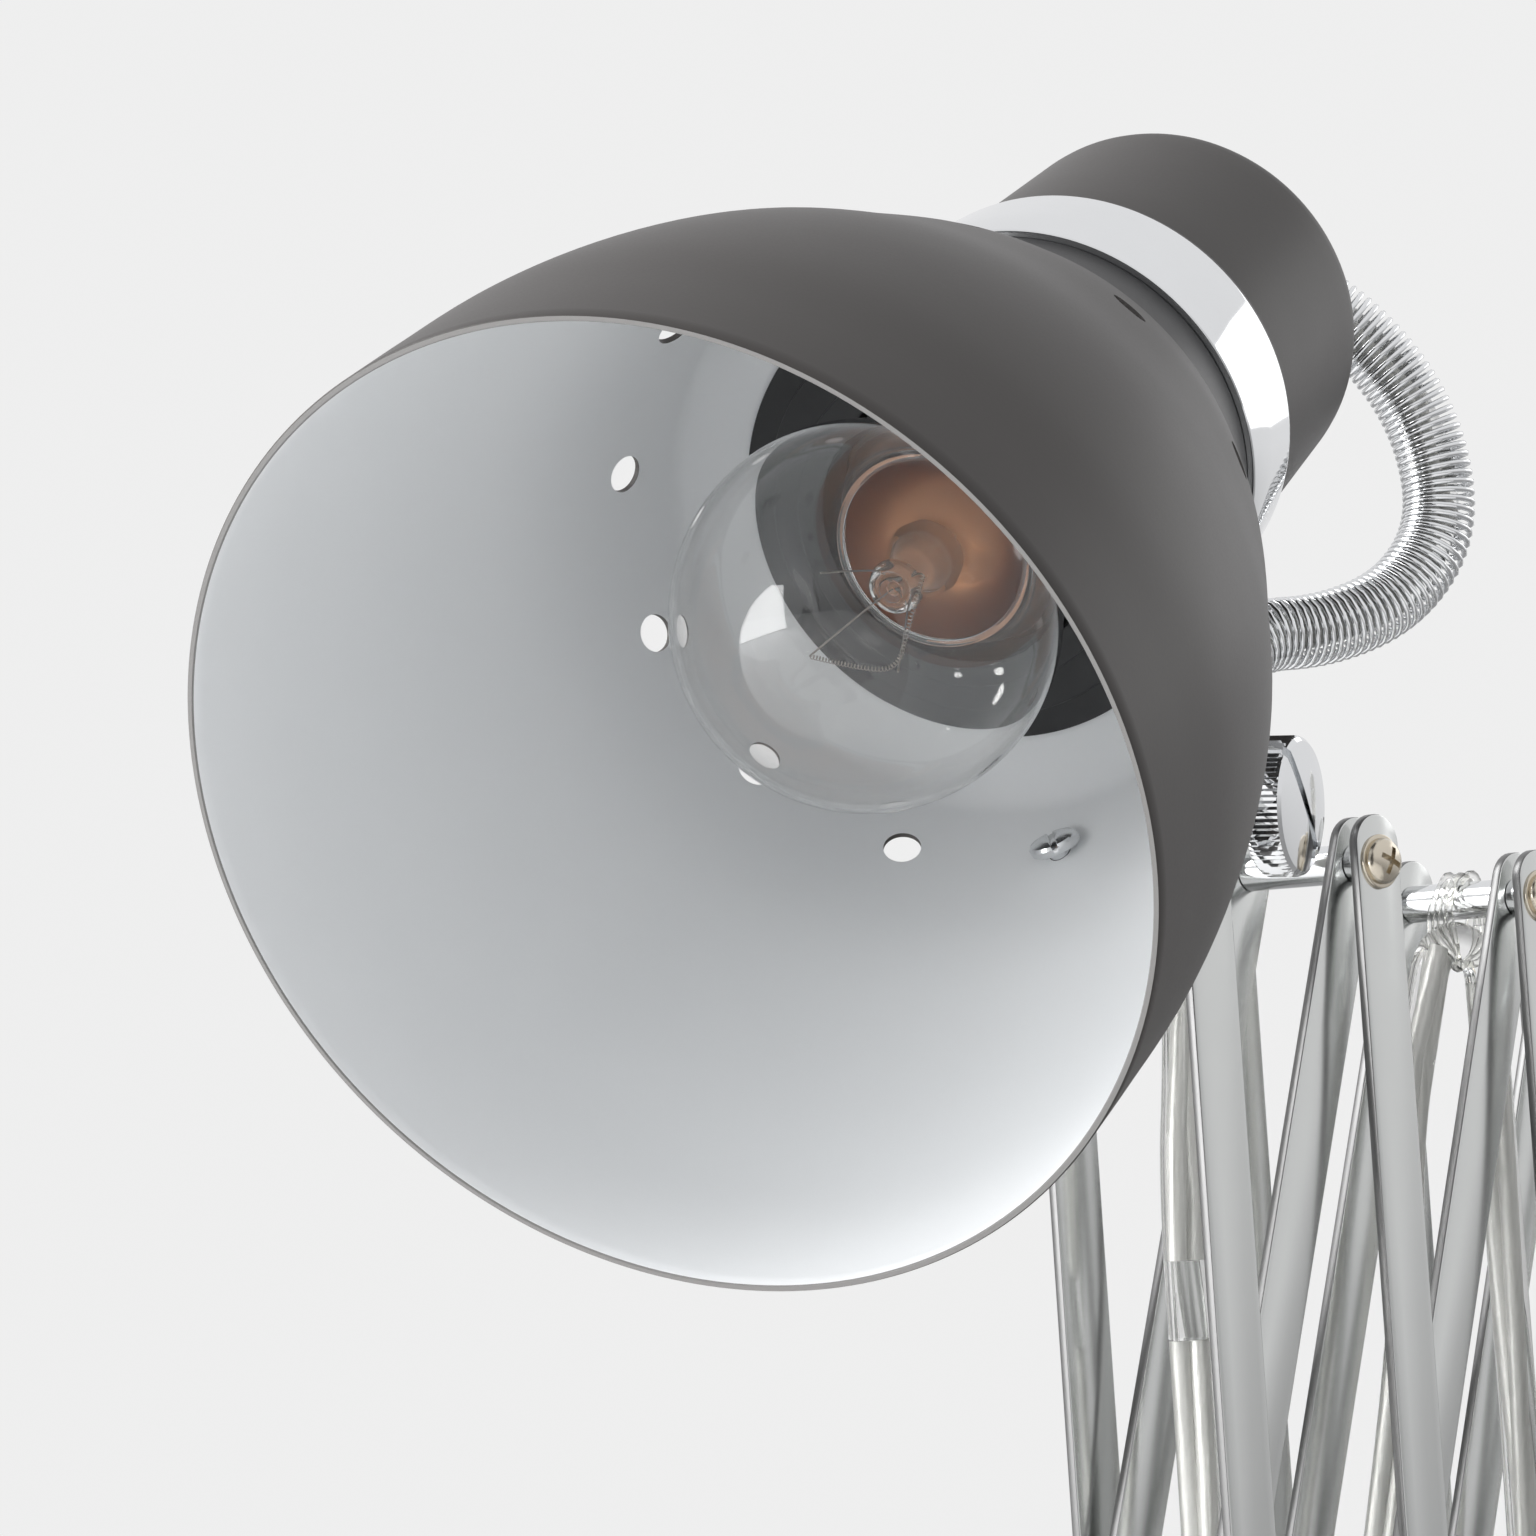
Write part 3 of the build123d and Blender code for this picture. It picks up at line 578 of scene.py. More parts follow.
def keep(piece, body, slot, *nodes):
    """A piece rides on its body and stands for its CAD nodes, which it hides; the slot is not used."""
    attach(piece, body)
    if nodes:
        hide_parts(*nodes)
    return piece


# ---- the arm ----


def top_y(index):
    return HEAD_PIVOT_Y + index * PIVOT_SPACING


def strip_solid(x, y, z, slope):
    """A flat link with round ends, rounded along its edges, from x outwards."""
    down = Vector((0, slope * sin(LEAN), cos(LEAN)))
    across = Vector((0, cos(LEAN), -slope * sin(LEAN)))
    middle = Vector((x, y, z))
    half = 5.5
    reach = HALF_LINK + 8.4 - half
    edge = 0.28
    outline = []
    for end, start_angle in ((1, -pi / 2), (-1, pi / 2)):
        for step in range(17):
            angle = start_angle + pi * step / 16
            outline.append((end * reach, cos(angle), sin(angle)))
    layers = [(0.0, half - edge), (edge * 0.3, half - edge * 0.3), (edge, half)]
    layers += [(STRIP - edge, half), (STRIP - edge * 0.3, half - edge * 0.3), (STRIP, half - edge)]
    points = []
    count = len(outline)
    for depth, wide in layers:
        for along, c, s in outline:
            points.append(middle + Vector((depth, 0, 0)) + down * (along + c * wide) + across * s * wide)
    faces = [list(range(count))[::-1], list(range(len(points) - count, len(points)))]
    for layer in range(len(layers) - 1):
        for step in range(count):
            after = (step + 1) % count
            base = layer * count
            faces.append([base + step, base + after, base + count + after, base + count + step])
    return points, faces


class LAMP_OT_links(bpy.types.Operator):
    """Flat links of the scissor arm, with rounded edges that carry painted shade"""

    bl_idname = "lamp.links"
    bl_label = "Scissor links"

    def execute(self, context):
        for index in range(1, STAGES + 1):
            y = top_y(index) - PIVOT_SPACING / 2
            for kind, slope, x in (("outer", -1, OUTER_X), ("inner", 1, INNER_X)):
                sides = [strip_solid(start, y, MIDDLE_Z, slope) for start in (x, -x - STRIP)]
                pair = merged(sides)
                name = f"{kind}_links_{index}"
                piece = solid(
                    "strip_" + name, *pair, [finish_named("strip"), finish_named("strip_edge")],
                    sharp=50,
                )
                # Faces square to X keep the bright plating; the edge faces take the dark copy, painted shade
                # along the edges
                for face in piece.data.polygons:
                    face.material_index = 0 if abs(face.normal.x) > 0.9 else 1
                keep(piece, f"{kind}_{index}", "link_steel", name)
        return {"FINISHED"}


def screw_parts(centre, way, turn):
    """Washer and domed head with a cross recess, as a head to be cut and its cutters."""
    spindle = Spindle(centre, way, RISE)
    washer = turned(spindle, rounded([(1.4, 0), (4.8, 0), (4.8, 0.6), (1.4, 0.6)], 0.2), 48)
    dome = [
        (0, 0.6), (4.0, 0.6), (4.12, 0.9), (4.0, 1.5), (3.6, 2.1), (2.9, 2.6), (2.0, 2.9), (1.0, 3.04),
        (0, 3.1),
    ]
    head = turned(spindle, dome, 48, closed=False)
    cutters = []
    for angle in (turn, turn + pi / 2):
        arm = spindle.x * cos(angle) + spindle.y * sin(angle)
        other = spindle.direction.cross(arm)
        cutters.append(box_solid(spindle.at(0, 2.9), arm, other, spindle.direction, (2.5, 0.5, 1.25)))
    return washer, head, cutters


def screw_set(name, places, seat, seed):
    """One piece with a washer and screw at both ends of each rod."""
    washers = []
    heads = []
    first_cuts = []
    second_cuts = []
    for number, (y, z) in enumerate(places):
        for way in (1, -1):
            centre = Vector((way * seat, y, z))
            turn = 0.35 + 0.83 * (number + seed) + way * 0.27
            washer, head, cuts = screw_parts(centre, Vector((way, 0, 0)), turn)
            washers.append(washer)
            heads.append(head)
            first_cuts.append(cuts[0])
            second_cuts.append(cuts[1])
    piece = solid(name, *merged(heads), [finish_named("nickel")])
    cut_away(piece, first_cuts)
    cut_away(piece, second_cuts)
    piece.data.set_sharp_from_angle(angle=radians(35))
    ring = solid(name + "_washers", *merged(washers), [finish_named("nickel")])
    return piece, ring


class LAMP_OT_screws(bpy.types.Operator):
    """Pan-head screws and washers at the ends of the arm's rods"""

    bl_idname = "lamp.screws"
    bl_label = "Pivot screws"

    def execute(self, context):
        seat = OUTER_X + STRIP
        for index in range(1, STAGES + 1):
            places = [(top_y(index) - PIVOT_SPACING / 2, MIDDLE_Z), (top_y(index), BOTTOM_Z)]
            if index > 1:
                places.append((top_y(index - 1), ROW_HEIGHT))
            node = f"pivot_screws_{index}"
            heads, washers = screw_set(f"screws_{index}", places, seat, index * 1.3)
            keep(heads, f"outer_{index}", "screw_nickel", node)
            keep(washers, f"outer_{index}", "screw_nickel")
        heads, washers = screw_set("top_screws", [(top_y(STAGES), ROW_HEIGHT)], INNER_X + STRIP + 0.2, 2.2)
        keep(heads, "swivel", "screw_nickel", "top_pin_screws")
        keep(washers, "swivel", "screw_nickel")
        for index in range(1, STAGES + 1):
            dress(f"cross_rods_{index}", "rod")
        dress("end_rod", "rod")
        dress("top_pin", "rod")
        return {"FINISHED"}


# ---- the head ----


def shade_radius(z):
    """Outside radius of the shade at z, smooth through its outline."""
    outline = SHADE_OUTLINE
    for index in range(len(outline) - 1):
        (r0, z0), (r1, z1) = outline[index], outline[index + 1]
        if z <= z1 or index == len(outline) - 2:
            rb, zb = outline[index - 1] if index else (2 * r0 - r1, 2 * z0 - z1)
            ra, za = outline[index + 2] if index + 2 < len(outline) else (2 * r1 - r0, 2 * z1 - z0)
            share = (z - z0) / (z1 - z0)
            slope0 = (r1 - rb) / (z1 - zb) * (z1 - z0)
            slope1 = (ra - r0) / (za - z0) * (z1 - z0)
            a = 2 * share**3 - 3 * share**2 + 1
            b = share**3 - 2 * share**2 + share
            c = -2 * share**3 + 3 * share**2
            d = share**3 - share**2
            return a * r0 + b * slope0 + c * r1 + d * slope1
    return outline[-1][0]


class LAMP_OT_shade(bpy.types.Operator):
    """Bell shade with its vent holes, a rim lip painted lighter as a highlight, and pale inside"""

    bl_idname = "lamp.shade"
    bl_label = "Shade"

    def execute(self, context):
        wall = 1.0
        steps = 44
        outside = [(shade_radius(120.5 * step / steps), 120.5 * step / steps) for step in range(steps + 1)]
        outside[0] = (outside[0][0] - 0.18, 0.0)
        outside.insert(1, (outside[1][0], 0.28))
        back = [
            (46.6, 121.4), (46.0, 122.0), (30.0, 122.0), (30.0, 121.0), (36.0, 120.8), (39.5, 120.0),
            (42.2, 118.6),
        ]
        inside = [(radius - wall, z) for radius, z in reversed(outside[2:]) if z < 116.5]
        rim = [(72.02, 0.28), (72.2, 0.0)]
        outline = outside + back + inside + rim
        points, faces = turned(HEAD, outline, 240)
        rows = len(faces) // 240
        first_inside = len(outside) + 3
        groups = []
        for row in range(rows):
            part = 1 if first_inside <= row < len(outline) - 2 else 0
            # The lip's two rows take the lighter rim finish, a painted highlight
            if row >= len(outline) - 2:
                part = 2
            groups += [part] * 240
        finishes = [finish_named("shade_paint"), finish_named("shade_inside"), finish_named("rim_edge")]
        piece = solid("bell_shade", points, faces, finishes, groups, sharp=40)
        cutters = []
        for number in range(VENT_COUNT):
            turn = radians(FIRST_VENT + number * 360 / VENT_COUNT)
            outward = SIDE * sin(turn) - HEAD_UP * cos(turn)
            normal = outward * VENT_SLOPE.x + HEAD_AXIS * VENT_SLOPE.y
            spot = station(VENT_STATION, VENT_CIRCLE, FIRST_VENT + number * 360 / VENT_COUNT)
            spindle = Spindle(spot - normal * 6, normal, HEAD_AXIS)
            radius = SCREW_HOLE_RADIUS if number == 0 else VENT_RADIUS
            cutters.append(turned(spindle, [(0, 0), (radius, 0), (radius, 12), (0, 12)], 40, closed=False))
        cut_away(piece, cutters)
        piece.data.set_sharp_from_angle(angle=radians(40))
        keep(piece, "head", "shade_paint", "shade")
        return {"FINISHED"}


class LAMP_OT_head_rings(bpy.types.Operator):
    """Black socket ring and housing, chrome ring, cap and lampholder"""

    bl_idname = "lamp.head_rings"
    bl_label = "Head rings and cap"

    def execute(self, context):
        rings = [
            (
                "stepped_ring",
                [
                    (23.3, 113.5), (28, 113.5), (28, 116.5), (34, 116.5), (34, 119), (39, 119),
                    (39, 120.9), (29.9, 120.9),
                ]
                + [(29.9, 123.5), (23.3, 123.5)],
                0.35,
                "black",
                "black_plastic",
                "socket_ring",
            ),
            (
                "housing",
                [
                    (20.6, 123.6), (44, 123.6), (43.6, 125.4), (42.5, 127), (38.4, 130), (37.6, 147),
                    (34.5, 147),
                ]
                + [(34.5, 128), (20.6, 128)],
                0.5,
                "black",
                "black_plastic",
                "socket_housing",
            ),
            (
                "bright_ring",
                [
                    (34.4, 147.1), (38.8, 147.1), (38.5, 158), (38.2, 168), (37.2, 171), (34.4, 171),
                    (34.4, 165),
                ]
                + [(36.4, 165), (36.4, 150), (34.4, 150)],
                0.6,
                "chrome",
                "head_chrome",
                "chrome_ring",
            ),
            (
                "holder_shell",
                [
                    (0, 158), (20.5, 158), (20.5, 132), (20.5, 114), (18.4, 111), (15.4, 111),
                    (15.4, 154.5), (0, 154.5),
                ],
                0.6,
                "black",
                "black_plastic",
                "lampholder",
            ),
            (
                "lead_gland",
                [(3.75, 220.5), (4.15, 220.5), (4.15, 223.1), (8.2, 223.1), (8.2, 227), (3.75, 227)],
                0.7,
                "chrome",
                "black_plastic",
                "cord_gland",
            ),
        ]
        for name, outline, corner, finish, slot, node in rings:
            points, faces = turned(HEAD, rounded(outline, corner), 160)
            piece = solid(name, points, faces, [finish_named(finish)], sharp=30)
            keep(piece, "head", slot, node)
        body = [(36.2, 171.1), (36.1, 176)] + [(36.1 - 1.1 * s / 8, 176 + 39 * s / 8) for s in range(1, 9)]
        crown = [
            (35.0 - 8.0 * (1 - cos(pi / 2 * s / 10)), 215 + 8.0 * sin(pi / 2 * s / 10))
            for s in range(1, 11)
        ]
        end = [
            (16, 223.0), (4.2, 223.0), (4.2, 220.5), (26.0, 220.5), (32.0, 214.0), (33.6, 205),
            (34.2, 171.1),
        ]
        points, faces = turned(HEAD, body + crown + end, 160)
        piece = solid("rear_cap", points, faces, [finish_named("cap_paint")], sharp=38)
        keep(piece, "head", "cap_paint", "cap")
        return {"FINISHED"}


def globe_outline(shrink):
    """Half outline of the glass, from the front of the globe back to the neck's end."""
    radius = 30.0 - shrink
    turn = radians(42)
    outline = [(0.0, 70 - radius)]
    for step in range(1, 31):
        angle = -pi / 2 + (turn + pi / 2) * step / 30
        outline.append((radius * cos(angle), 70 + radius * sin(angle)))
    shoulder = Vector(outline[-1])
    waist = Vector((15.2 - shrink, 104))
    end = Vector((13.6 - shrink, 118.5))
    for first, second, way_one, way_two in (
        (shoulder, waist, Vector((-0.67, 0.74)), Vector((-0.28, 0.96))),
        (waist, end, Vector((-0.28, 0.96)), Vector((-0.02, 1))),
    ):
        span = (second - first).length
        for step in range(1, 11):
            s = step / 10
            point = first * (2 * s**3 - 3 * s**2 + 1) + way_one * span * (s**3 - 2 * s**2 + s)
            point += second * (3 * s**2 - 2 * s**3) + way_two * span * (s**3 - s**2)
            outline.append(tuple(point))
    return outline


class LAMP_OT_bulb(bpy.types.Operator):
    """Clear globe bulb: glass, stem, support wires, filament and screw base"""

    bl_idname = "lamp.bulb"
    bl_label = "Bulb"

    def execute(self, context):
        outside = globe_outline(0)
        inside = globe_outline(0.6)
        points, faces = turned(BULB, outside + inside[::-1], 128, closed=False)
        glass = solid("globe", points, faces, [finish_named("glass")], sharp=60)
        keep(glass, "head", "bulb_glass", "bulb_glass")

        # Glass stem: a flare from the neck, a tube and a button with rings pressed in it.
        flare = [
            (12.4, 117.5), (11.0, 110), (8.4, 104.6), (6.2, 100.5), (5.6, 97), (6.3, 93.5), (5.2, 90.4),
            (3.4, 87.2), (2.6, 84.6),
        ]
        button = [
            (3.7, 83.6), (4.5, 82.3), (4.0, 80.9), (3.2, 80.5), (2.6, 81.2), (1.9, 80.4), (1.2, 81.1),
            (0.6, 80.5), (0, 80.7),
        ]
        points, faces = turned(BULB, flare + button, 48, closed=False)
        stem = solid("stem", points, faces, [finish_named("stem")], sharp=60)
        keep(stem, "head", "bulb_glass")

        # Copper-coloured inside of the base, at the back of the neck.
        cup = [
            (0, 107.4), (8.6, 107), (12.6, 104.4), (15.4, 99.4), (15.8, 98.4), (16.2, 98.5),
            (15.6, 100.4), (13.6, 104.4),
        ]
        cup += [(12.6, 112), (12.4, 118.4), (0, 118.4)]
        points, faces = turned(BULB, cup, 96, closed=False)
        lining = solid("neck_lining", points, faces, [finish_named("copper")], sharp=40)
        keep(lining, "head", "bulb_base")
        rim = turned(BULB, rounded([(15.3, 97.2), (16.5, 97.2), (16.5, 98.3), (15.3, 98.3)], 0.4), 96)
        edge = solid("neck_ring", *rim, [finish_named("stem")], sharp=60)
        keep(edge, "head", "bulb_glass")

        # Screw base with its rolled thread.
        thread = []
        for step in range(60):
            z = 119.0 + step * 0.35
            thread.append((12.9 + 0.42 * sin(2 * pi * (z - 119) / 3.6), z))
        outline = [(0, 118.6), (13.2, 118.6)] + thread + [
            (12.2, 141), (8, 144.6), (5, 145.4), (4.8, 147.4), (0, 147.6),
        ]
        points, faces = turned(BULB, outline, 96, closed=False)
        base = solid("screw_base", points, faces, [finish_named("brass")], sharp=50)
        keep(base, "head", "bulb_base", "bulb_base")

        # Two lead wires, two supports and the coiled filament between them.
        wires = []
        tips = []
        for turn, reach, z in ((60, 12.5, 70.0), (150, 9.5, 67.5), (-120, 12.5, 70.0), (-30, 9.5, 67.5)):
            points = [BULB.at(1.4, 86, radians(turn)), BULB.at(3.6, 81, radians(turn))]
            points += [BULB.at(reach * 0.6, (86 + z) / 2, radians(turn)), BULB.at(reach, z, radians(turn))]
            tips.append(points[-1])
            wires.append(wire_along(route_line(points), 0.16, 6))
        ordered = [tips[2], tips[3], tips[0], tips[1]]
        wires_piece = solid("support_wires", *merged(wires), [finish_named("tungsten")])
        keep(wires_piece, "head", "bulb_base")
        sagging = [ordered[0], ordered[0].lerp(ordered[1], 0.5) - HEAD_AXIS, ordered[1]]
        sagging += [ordered[1].lerp(ordered[2], 0.5) - HEAD_AXIS, ordered[2]]
        path = Line(route_line(sagging), 0.4)
        filament = solid(
            "filament", *wire_along(wound(path, 0.34, 0.6, 8), 0.08, 5), [finish_named("tungsten")],
        )
        keep(filament, "head", "bulb_base")
        return {"FINISHED"}


class LAMP_OT_head_mount(bpy.types.Operator):
    """Knurled tilt knob, and the finishes of the swivel, yoke, bracket and their fasteners"""

    bl_idname = "lamp.head_mount"
    bl_label = "Tilt knob and mount"

    def execute(self, context):
        look = context.scene.lamp_look
        teeth = look.knurl_count
        segments = teeth * 4
        outline = [
            (2.55, 20.6), (9.0, 20.6), (11.4, 20.7), (12.0, 21.2), (12.3, 21.8), (12.3, 23.2),
            (12.3, 24.6),
        ]
        outline += [
            (12.3, 26.4), (12.0, 27.2), (11.3, 27.75), (9.5, 28.0), (6.0, 28.25), (3.0, 28.38),
            (0, 28.4),
        ]
        outline += [(0, 24.6), (2.55, 24.6)]

        def knurl(index, step):
            wave = (0.5 + 0.5 * cos(2 * pi * step / 4)) * 0.34
            return -wave if 4 <= index <= 7 else 0.0

        points, faces = turned(TILT, outline, segments, ripple=knurl)
        knob = solid("knurled_knob", points, faces, [finish_named("chrome")], sharp=28)
        slot_way = (RISE * cos(radians(-48)) + ALONG * sin(radians(-48))).normalized()
        cutter = box_solid(TILT.at(0, 28.6), slot_way, SIDE.cross(slot_way), SIDE, (16, 1.0, 2.0))
        cut_away(knob, [cutter])
        knob.data.set_sharp_from_angle(angle=radians(28))
        keep(knob, "knob", "head_chrome", "tilt_knob")
        for node in (
            "swivel_block", "yoke", "swivel_nut", "head_bracket", "bracket_nut", "tilt_shaft",
            "knob_spacer",
        ):
            dress(node, "chrome")
        turn = radians(FIRST_VENT)
        outward = SIDE * sin(turn) - HEAD_UP * cos(turn)
        inward = -(outward * VENT_SLOPE.x + HEAD_AXIS * VENT_SLOPE.y)
        seat = Spindle(station(VENT_STATION, VENT_CIRCLE, FIRST_VENT), inward, HEAD_AXIS)
        cheese = [
            (0, -7.0), (2.0, -7.0), (2.0, 1.0), (4.2, 1.0), (4.4, 1.2), (4.35, 2.4), (3.9, 3.0),
            (2.6, 3.35), (0, 3.5),
        ]
        points, faces = turned(seat, cheese, 64, closed=False)
        screw = solid("slotted_screw", points, faces, [finish_named("screw_chrome")], sharp=40)
        way = (seat.x * cos(0.5) + seat.y * sin(0.5)).normalized()
        cut_away(screw, [box_solid(seat.at(0, 3.4), way, inward.cross(way), inward, (5, 0.55, 1.0))])
        keep(screw, "head", "head_chrome", "bracket_screw")
        return {"FINISHED"}


# ---- the flex held by the lamp ----


LOOP = [
    station(243), PIVOT + Vector((-12, 45, 112.5)), PIVOT + Vector((-1, 58, 102)),
    PIVOT + Vector((5, 69, 87)),
]
LOOP += [PIVOT + Vector((7, 73, 68)), PIVOT + Vector((4, 65, 53)), PIVOT + Vector((-1, 50, 44.5))]
LOOP += [PIVOT + Vector((-6, 34, 41.5)), PIVOT + Vector((-8.5, 23, 27))]
DESCENT = [PIVOT + Vector((-7, 21.5, 3)), PIVOT + Vector((-5, 20.5, -17)), PIVOT + Vector((-2, 19.5, -38))]


def beside_link(y, slope, distance, offset):
    """Point on a link's line at a distance below a top pivot, moved square to the link towards +Y."""
    shift_y = -slope * distance * sin(LEAN) + offset * cos(LEAN)
    shift_z = -distance * cos(LEAN) - slope * offset * sin(LEAN)
    return Vector((0, y + shift_y, ROW_HEIGHT + shift_z))


def half_round(centre, radius, start, end, steps=5):
    """Control points of a bend in the plane of the arm; angles are from +Y, in degrees."""
    points = []
    spread = radius / cos(radians(end - start) / steps / 2)
    for step in range(steps):
        angle = radians(start + (end - start) * (step + 0.5) / steps)
        points.append(Vector((0, centre[0] + spread * cos(angle), centre[1] + spread * sin(angle))))
    last = radians(end)
    points.append(Vector((0, centre[0] + radius * cos(last), centre[1] + radius * sin(last))))
    return points


def flex_routes():
    """Each run's name, body and points."""
    full = 2 * HALF_LINK
    lean = LEAN * 180 / pi
    hang_radius = 8.0
    hang_drop = ROD_RADIUS + FLEX_RADIUS + 0.5 + hang_radius
    hang_offset = hang_radius - hang_drop * sin(LEAN)
    hang_start = hang_drop * cos(LEAN)
    routes = []
    lead = [station(205), station(230)] + LOOP + DESCENT
    lead += [beside_link(HEAD_PIVOT_Y, -1, 62, WRAP), beside_link(HEAD_PIVOT_Y, -1, 88, WRAP)]
    routes.append(("flex_lead", "head", lead))
    for index in (1, 3):
        y = top_y(index - 1)
        begin, offset = (88.1, WRAP) if index == 1 else (hang_start, hang_offset)
        points = [
            beside_link(y, -1, begin, offset),
            beside_link(y, -1, HALF_LINK + 40, WRAP + 0.4),
            beside_link(y, -1, full - 36, -WRAP),
            beside_link(y, -1, full - 6, -WRAP),
        ]
        points += half_round((top_y(index), BOTTOM_Z), WRAP, 180 + lean, 360 - lean)
        routes.append((f"flex_run_{index}", f"outer_{index}", points))
    for index in (2, STAGES):
        y = top_y(index)
        points = [beside_link(y, 1, full, WRAP), beside_link(y, 1, HALF_LINK - 40, WRAP + 0.4)]
        if index == STAGES:
            top = ROW_HEIGHT + 43
            points += [beside_link(y, 1, 36, -WRAP), Vector((0, y - WRAP - 0.6, ROW_HEIGHT + 4))]
            points += [Vector((0, y - WRAP + 0.2, top - 14)), Vector((0, y - WRAP + 4, top))]
            points += [Vector((0, -4, top)), Vector((0, 0, top - 12)), Vector((0, 0, ROW_HEIGHT + 19))]
        else:
            points += [
                beside_link(y, 1, 36 + hang_start, -hang_offset),
                beside_link(y, 1, hang_start + 6, -hang_offset),
            ]
            points += half_round((y, ROW_HEIGHT - hang_drop), hang_radius, 180 - lean, lean)
        routes.append((f"flex_run_{index}", f"inner_{index}", points))
    return routes


def conductors(line, reach=1.3, radius=1.5, pitch=340.0):
    """Two stranded cores that turn slowly round each other along a line."""
    return merged([wire_along(wound(line, reach, pitch, 16, phase=phase), radius, 12) for phase in (0.0, pi)])


class LAMP_OT_flex(bpy.types.Operator):
    """Clear flex with its twisted wires, along the links and up to the head, and its ties"""

    bl_idname = "lamp.flex"
    bl_label = "Flex along the arm"

    def execute(self, context):
        for node, body, points in flex_routes():
            line = Line(route_line(points), 1.2)
            jacket = solid(
                node + "_jacket", *swept(line, FLEX_RADIUS, 24), [finish_named("jacket")], sharp=50,
            )
            keep(jacket, body, "clear_flex", node)
            cores = solid(node + "_wires", *conductors(line), [finish_named("strands")], sharp=50)
            keep(cores, body, "clear_flex")

        # Clear tie that holds the bend of the flex under the second top rod.
        low = -(ROD_RADIUS + 2 * FLEX_RADIUS + 1.6)
        high = ROD_RADIUS + 1.0
        loops = []
        for number, x in enumerate((-2.2, -0.7, 0.9, 2.3)):
            loop = []
            for step in range(40):
                turn = 2 * pi * step / 40
                ruffle = 1 + 0.05 * sin(5 * turn + number * 2)
                z = (high + low) / 2 + (high - low) / 2 * sin(turn) * ruffle
                y = top_y(2) + 5.4 * cos(turn) * ruffle
                loop.append(Vector((x + 0.5 * sin(3 * turn + number), y, ROW_HEIGHT + z)))
            loops.append(wire_along(loop + loop[:1], 0.75, 10))
        tie = solid("flex_tie", *merged(loops), [finish_named("tie")], sharp=60)
        keep(tie, "outer_3", "clear_flex")
        return {"FINISHED"}


class LAMP_OT_spring(bpy.types.Operator):
    """Wire spring round the lead behind the head"""

    bl_idname = "lamp.spring"
    bl_label = "Lead spring"

    def execute(self, context):
        look = context.scene.lamp_look
        last = (LOOP[-1] + DESCENT[0]) / 2
        line = Line(route_line([station(227.1)] + LOOP + [last]), 0.8)
        wire = look.spring_wire / MM / 2
        turns = wound(line, 6.8 - wire, look.spring_pitch / MM, 18, start=0.5, stop=line.length - 0.4)
        piece = solid("lead_coils", *wire_along(turns, wire, 8), [finish_named("wire")], sharp=60)
        keep(piece, "head", "spring_chrome", "lead_spring")
        return {"FINISHED"}


# ---- post and clamp ----


class LAMP_OT_post_and_clamp(bpy.types.Operator):
    """Finishes of the post, its collars and the clamp, and the ribbed cord gland"""

    bl_idname = "lamp.post_and_clamp"
    bl_label = "Post and clamp"

    def execute(self, context):
        finishes = {
            "post": "chrome",
            "stop_ring": "chrome",
            "stop_ring_screw": "black",
            "swivel_collar": "collar",
            "post_cap": "collar",
            "cap_grommet": "black",
            "sliding_collar": "collar",
            "clamp_body": "collar",
            "clamp_screw": "chrome",
            "clamp_pad": "chrome",
            "desk_pad": "rubber",
        }
        for node, finish in finishes.items():
            dress(node, finish)
        spindle = Spindle((8.1, 0, 21), (1, 0, 0), (0, 0, 1))
        outline = [(3.65, 0), (4.45, 0), (4.45, 9), (7, 9), (6.8, 12), (6.3, 14)]
        for rib in range(5):
            start = 14.6 + rib * 2.0
            size = 5.2 - 0.18 * rib
            outline += [
                (size - 0.7, start - 0.5), (size - 0.7, start), (size, start + 0.3),
                (size, start + 1.1),
            ]
            outline += [(size - 0.7, start + 1.4)]
        outline += [(3.65, 24.0)]
        points, faces = turned(spindle, outline, 64)
        gland = solid("ribbed_gland", points, faces, [finish_named("black")], sharp=35)
        keep(gland, "base", "black_plastic", "tail_gland")
        return {"FINISHED"}


# ---- free cord, coil and plug ----


def free_cord_points():
    """The tail, its coil and the end at the plug, in millimetres."""
    points = [(32.15, 0, 21), (50, 0, 21), (68, 0.6, 16.5), (87, 1.5, 9.5), (107, 1.5, 5), (127, -1, 3.8)]
    points += [(147, -3.6, 3.8)]
    centre = (165.0, -55.0)
    rest = 3.8
    per_turn = 16
    widen = 1 / (0.75 + 0.25 * cos(2 * pi / per_turn))
    for step in range(1, 6 * per_turn):
        turns = step / per_turn
        if turns <= 3:
            radius = 50.8 - 7.2 * turns
            z = rest
        else:
            climb = min((turns - 3) / 0.35, 1.0)
            radius = 29.2 - 0.6 * climb + 8.38 * max(turns - 3.35, 0)
            z = rest + 7.2 * climb
        angle = pi / 2 - 2 * pi * turns
        points.append((centre[0] + radius * widen * cos(angle), centre[1] + radius * widen * sin(angle), z))
    points += [(167, -4.1, 11), (185, -4, 10.6), (205, -6.5, 9), (223, -13.5, 8.5), (238, -24.5, 8.5)]
    return points


PLUG_START = Vector((238, -24.5, 8.5))
PLUG_WAY = Vector((15, -11, 0)).normalized()
PLUG_ACROSS = PLUG_WAY.cross(RISE)


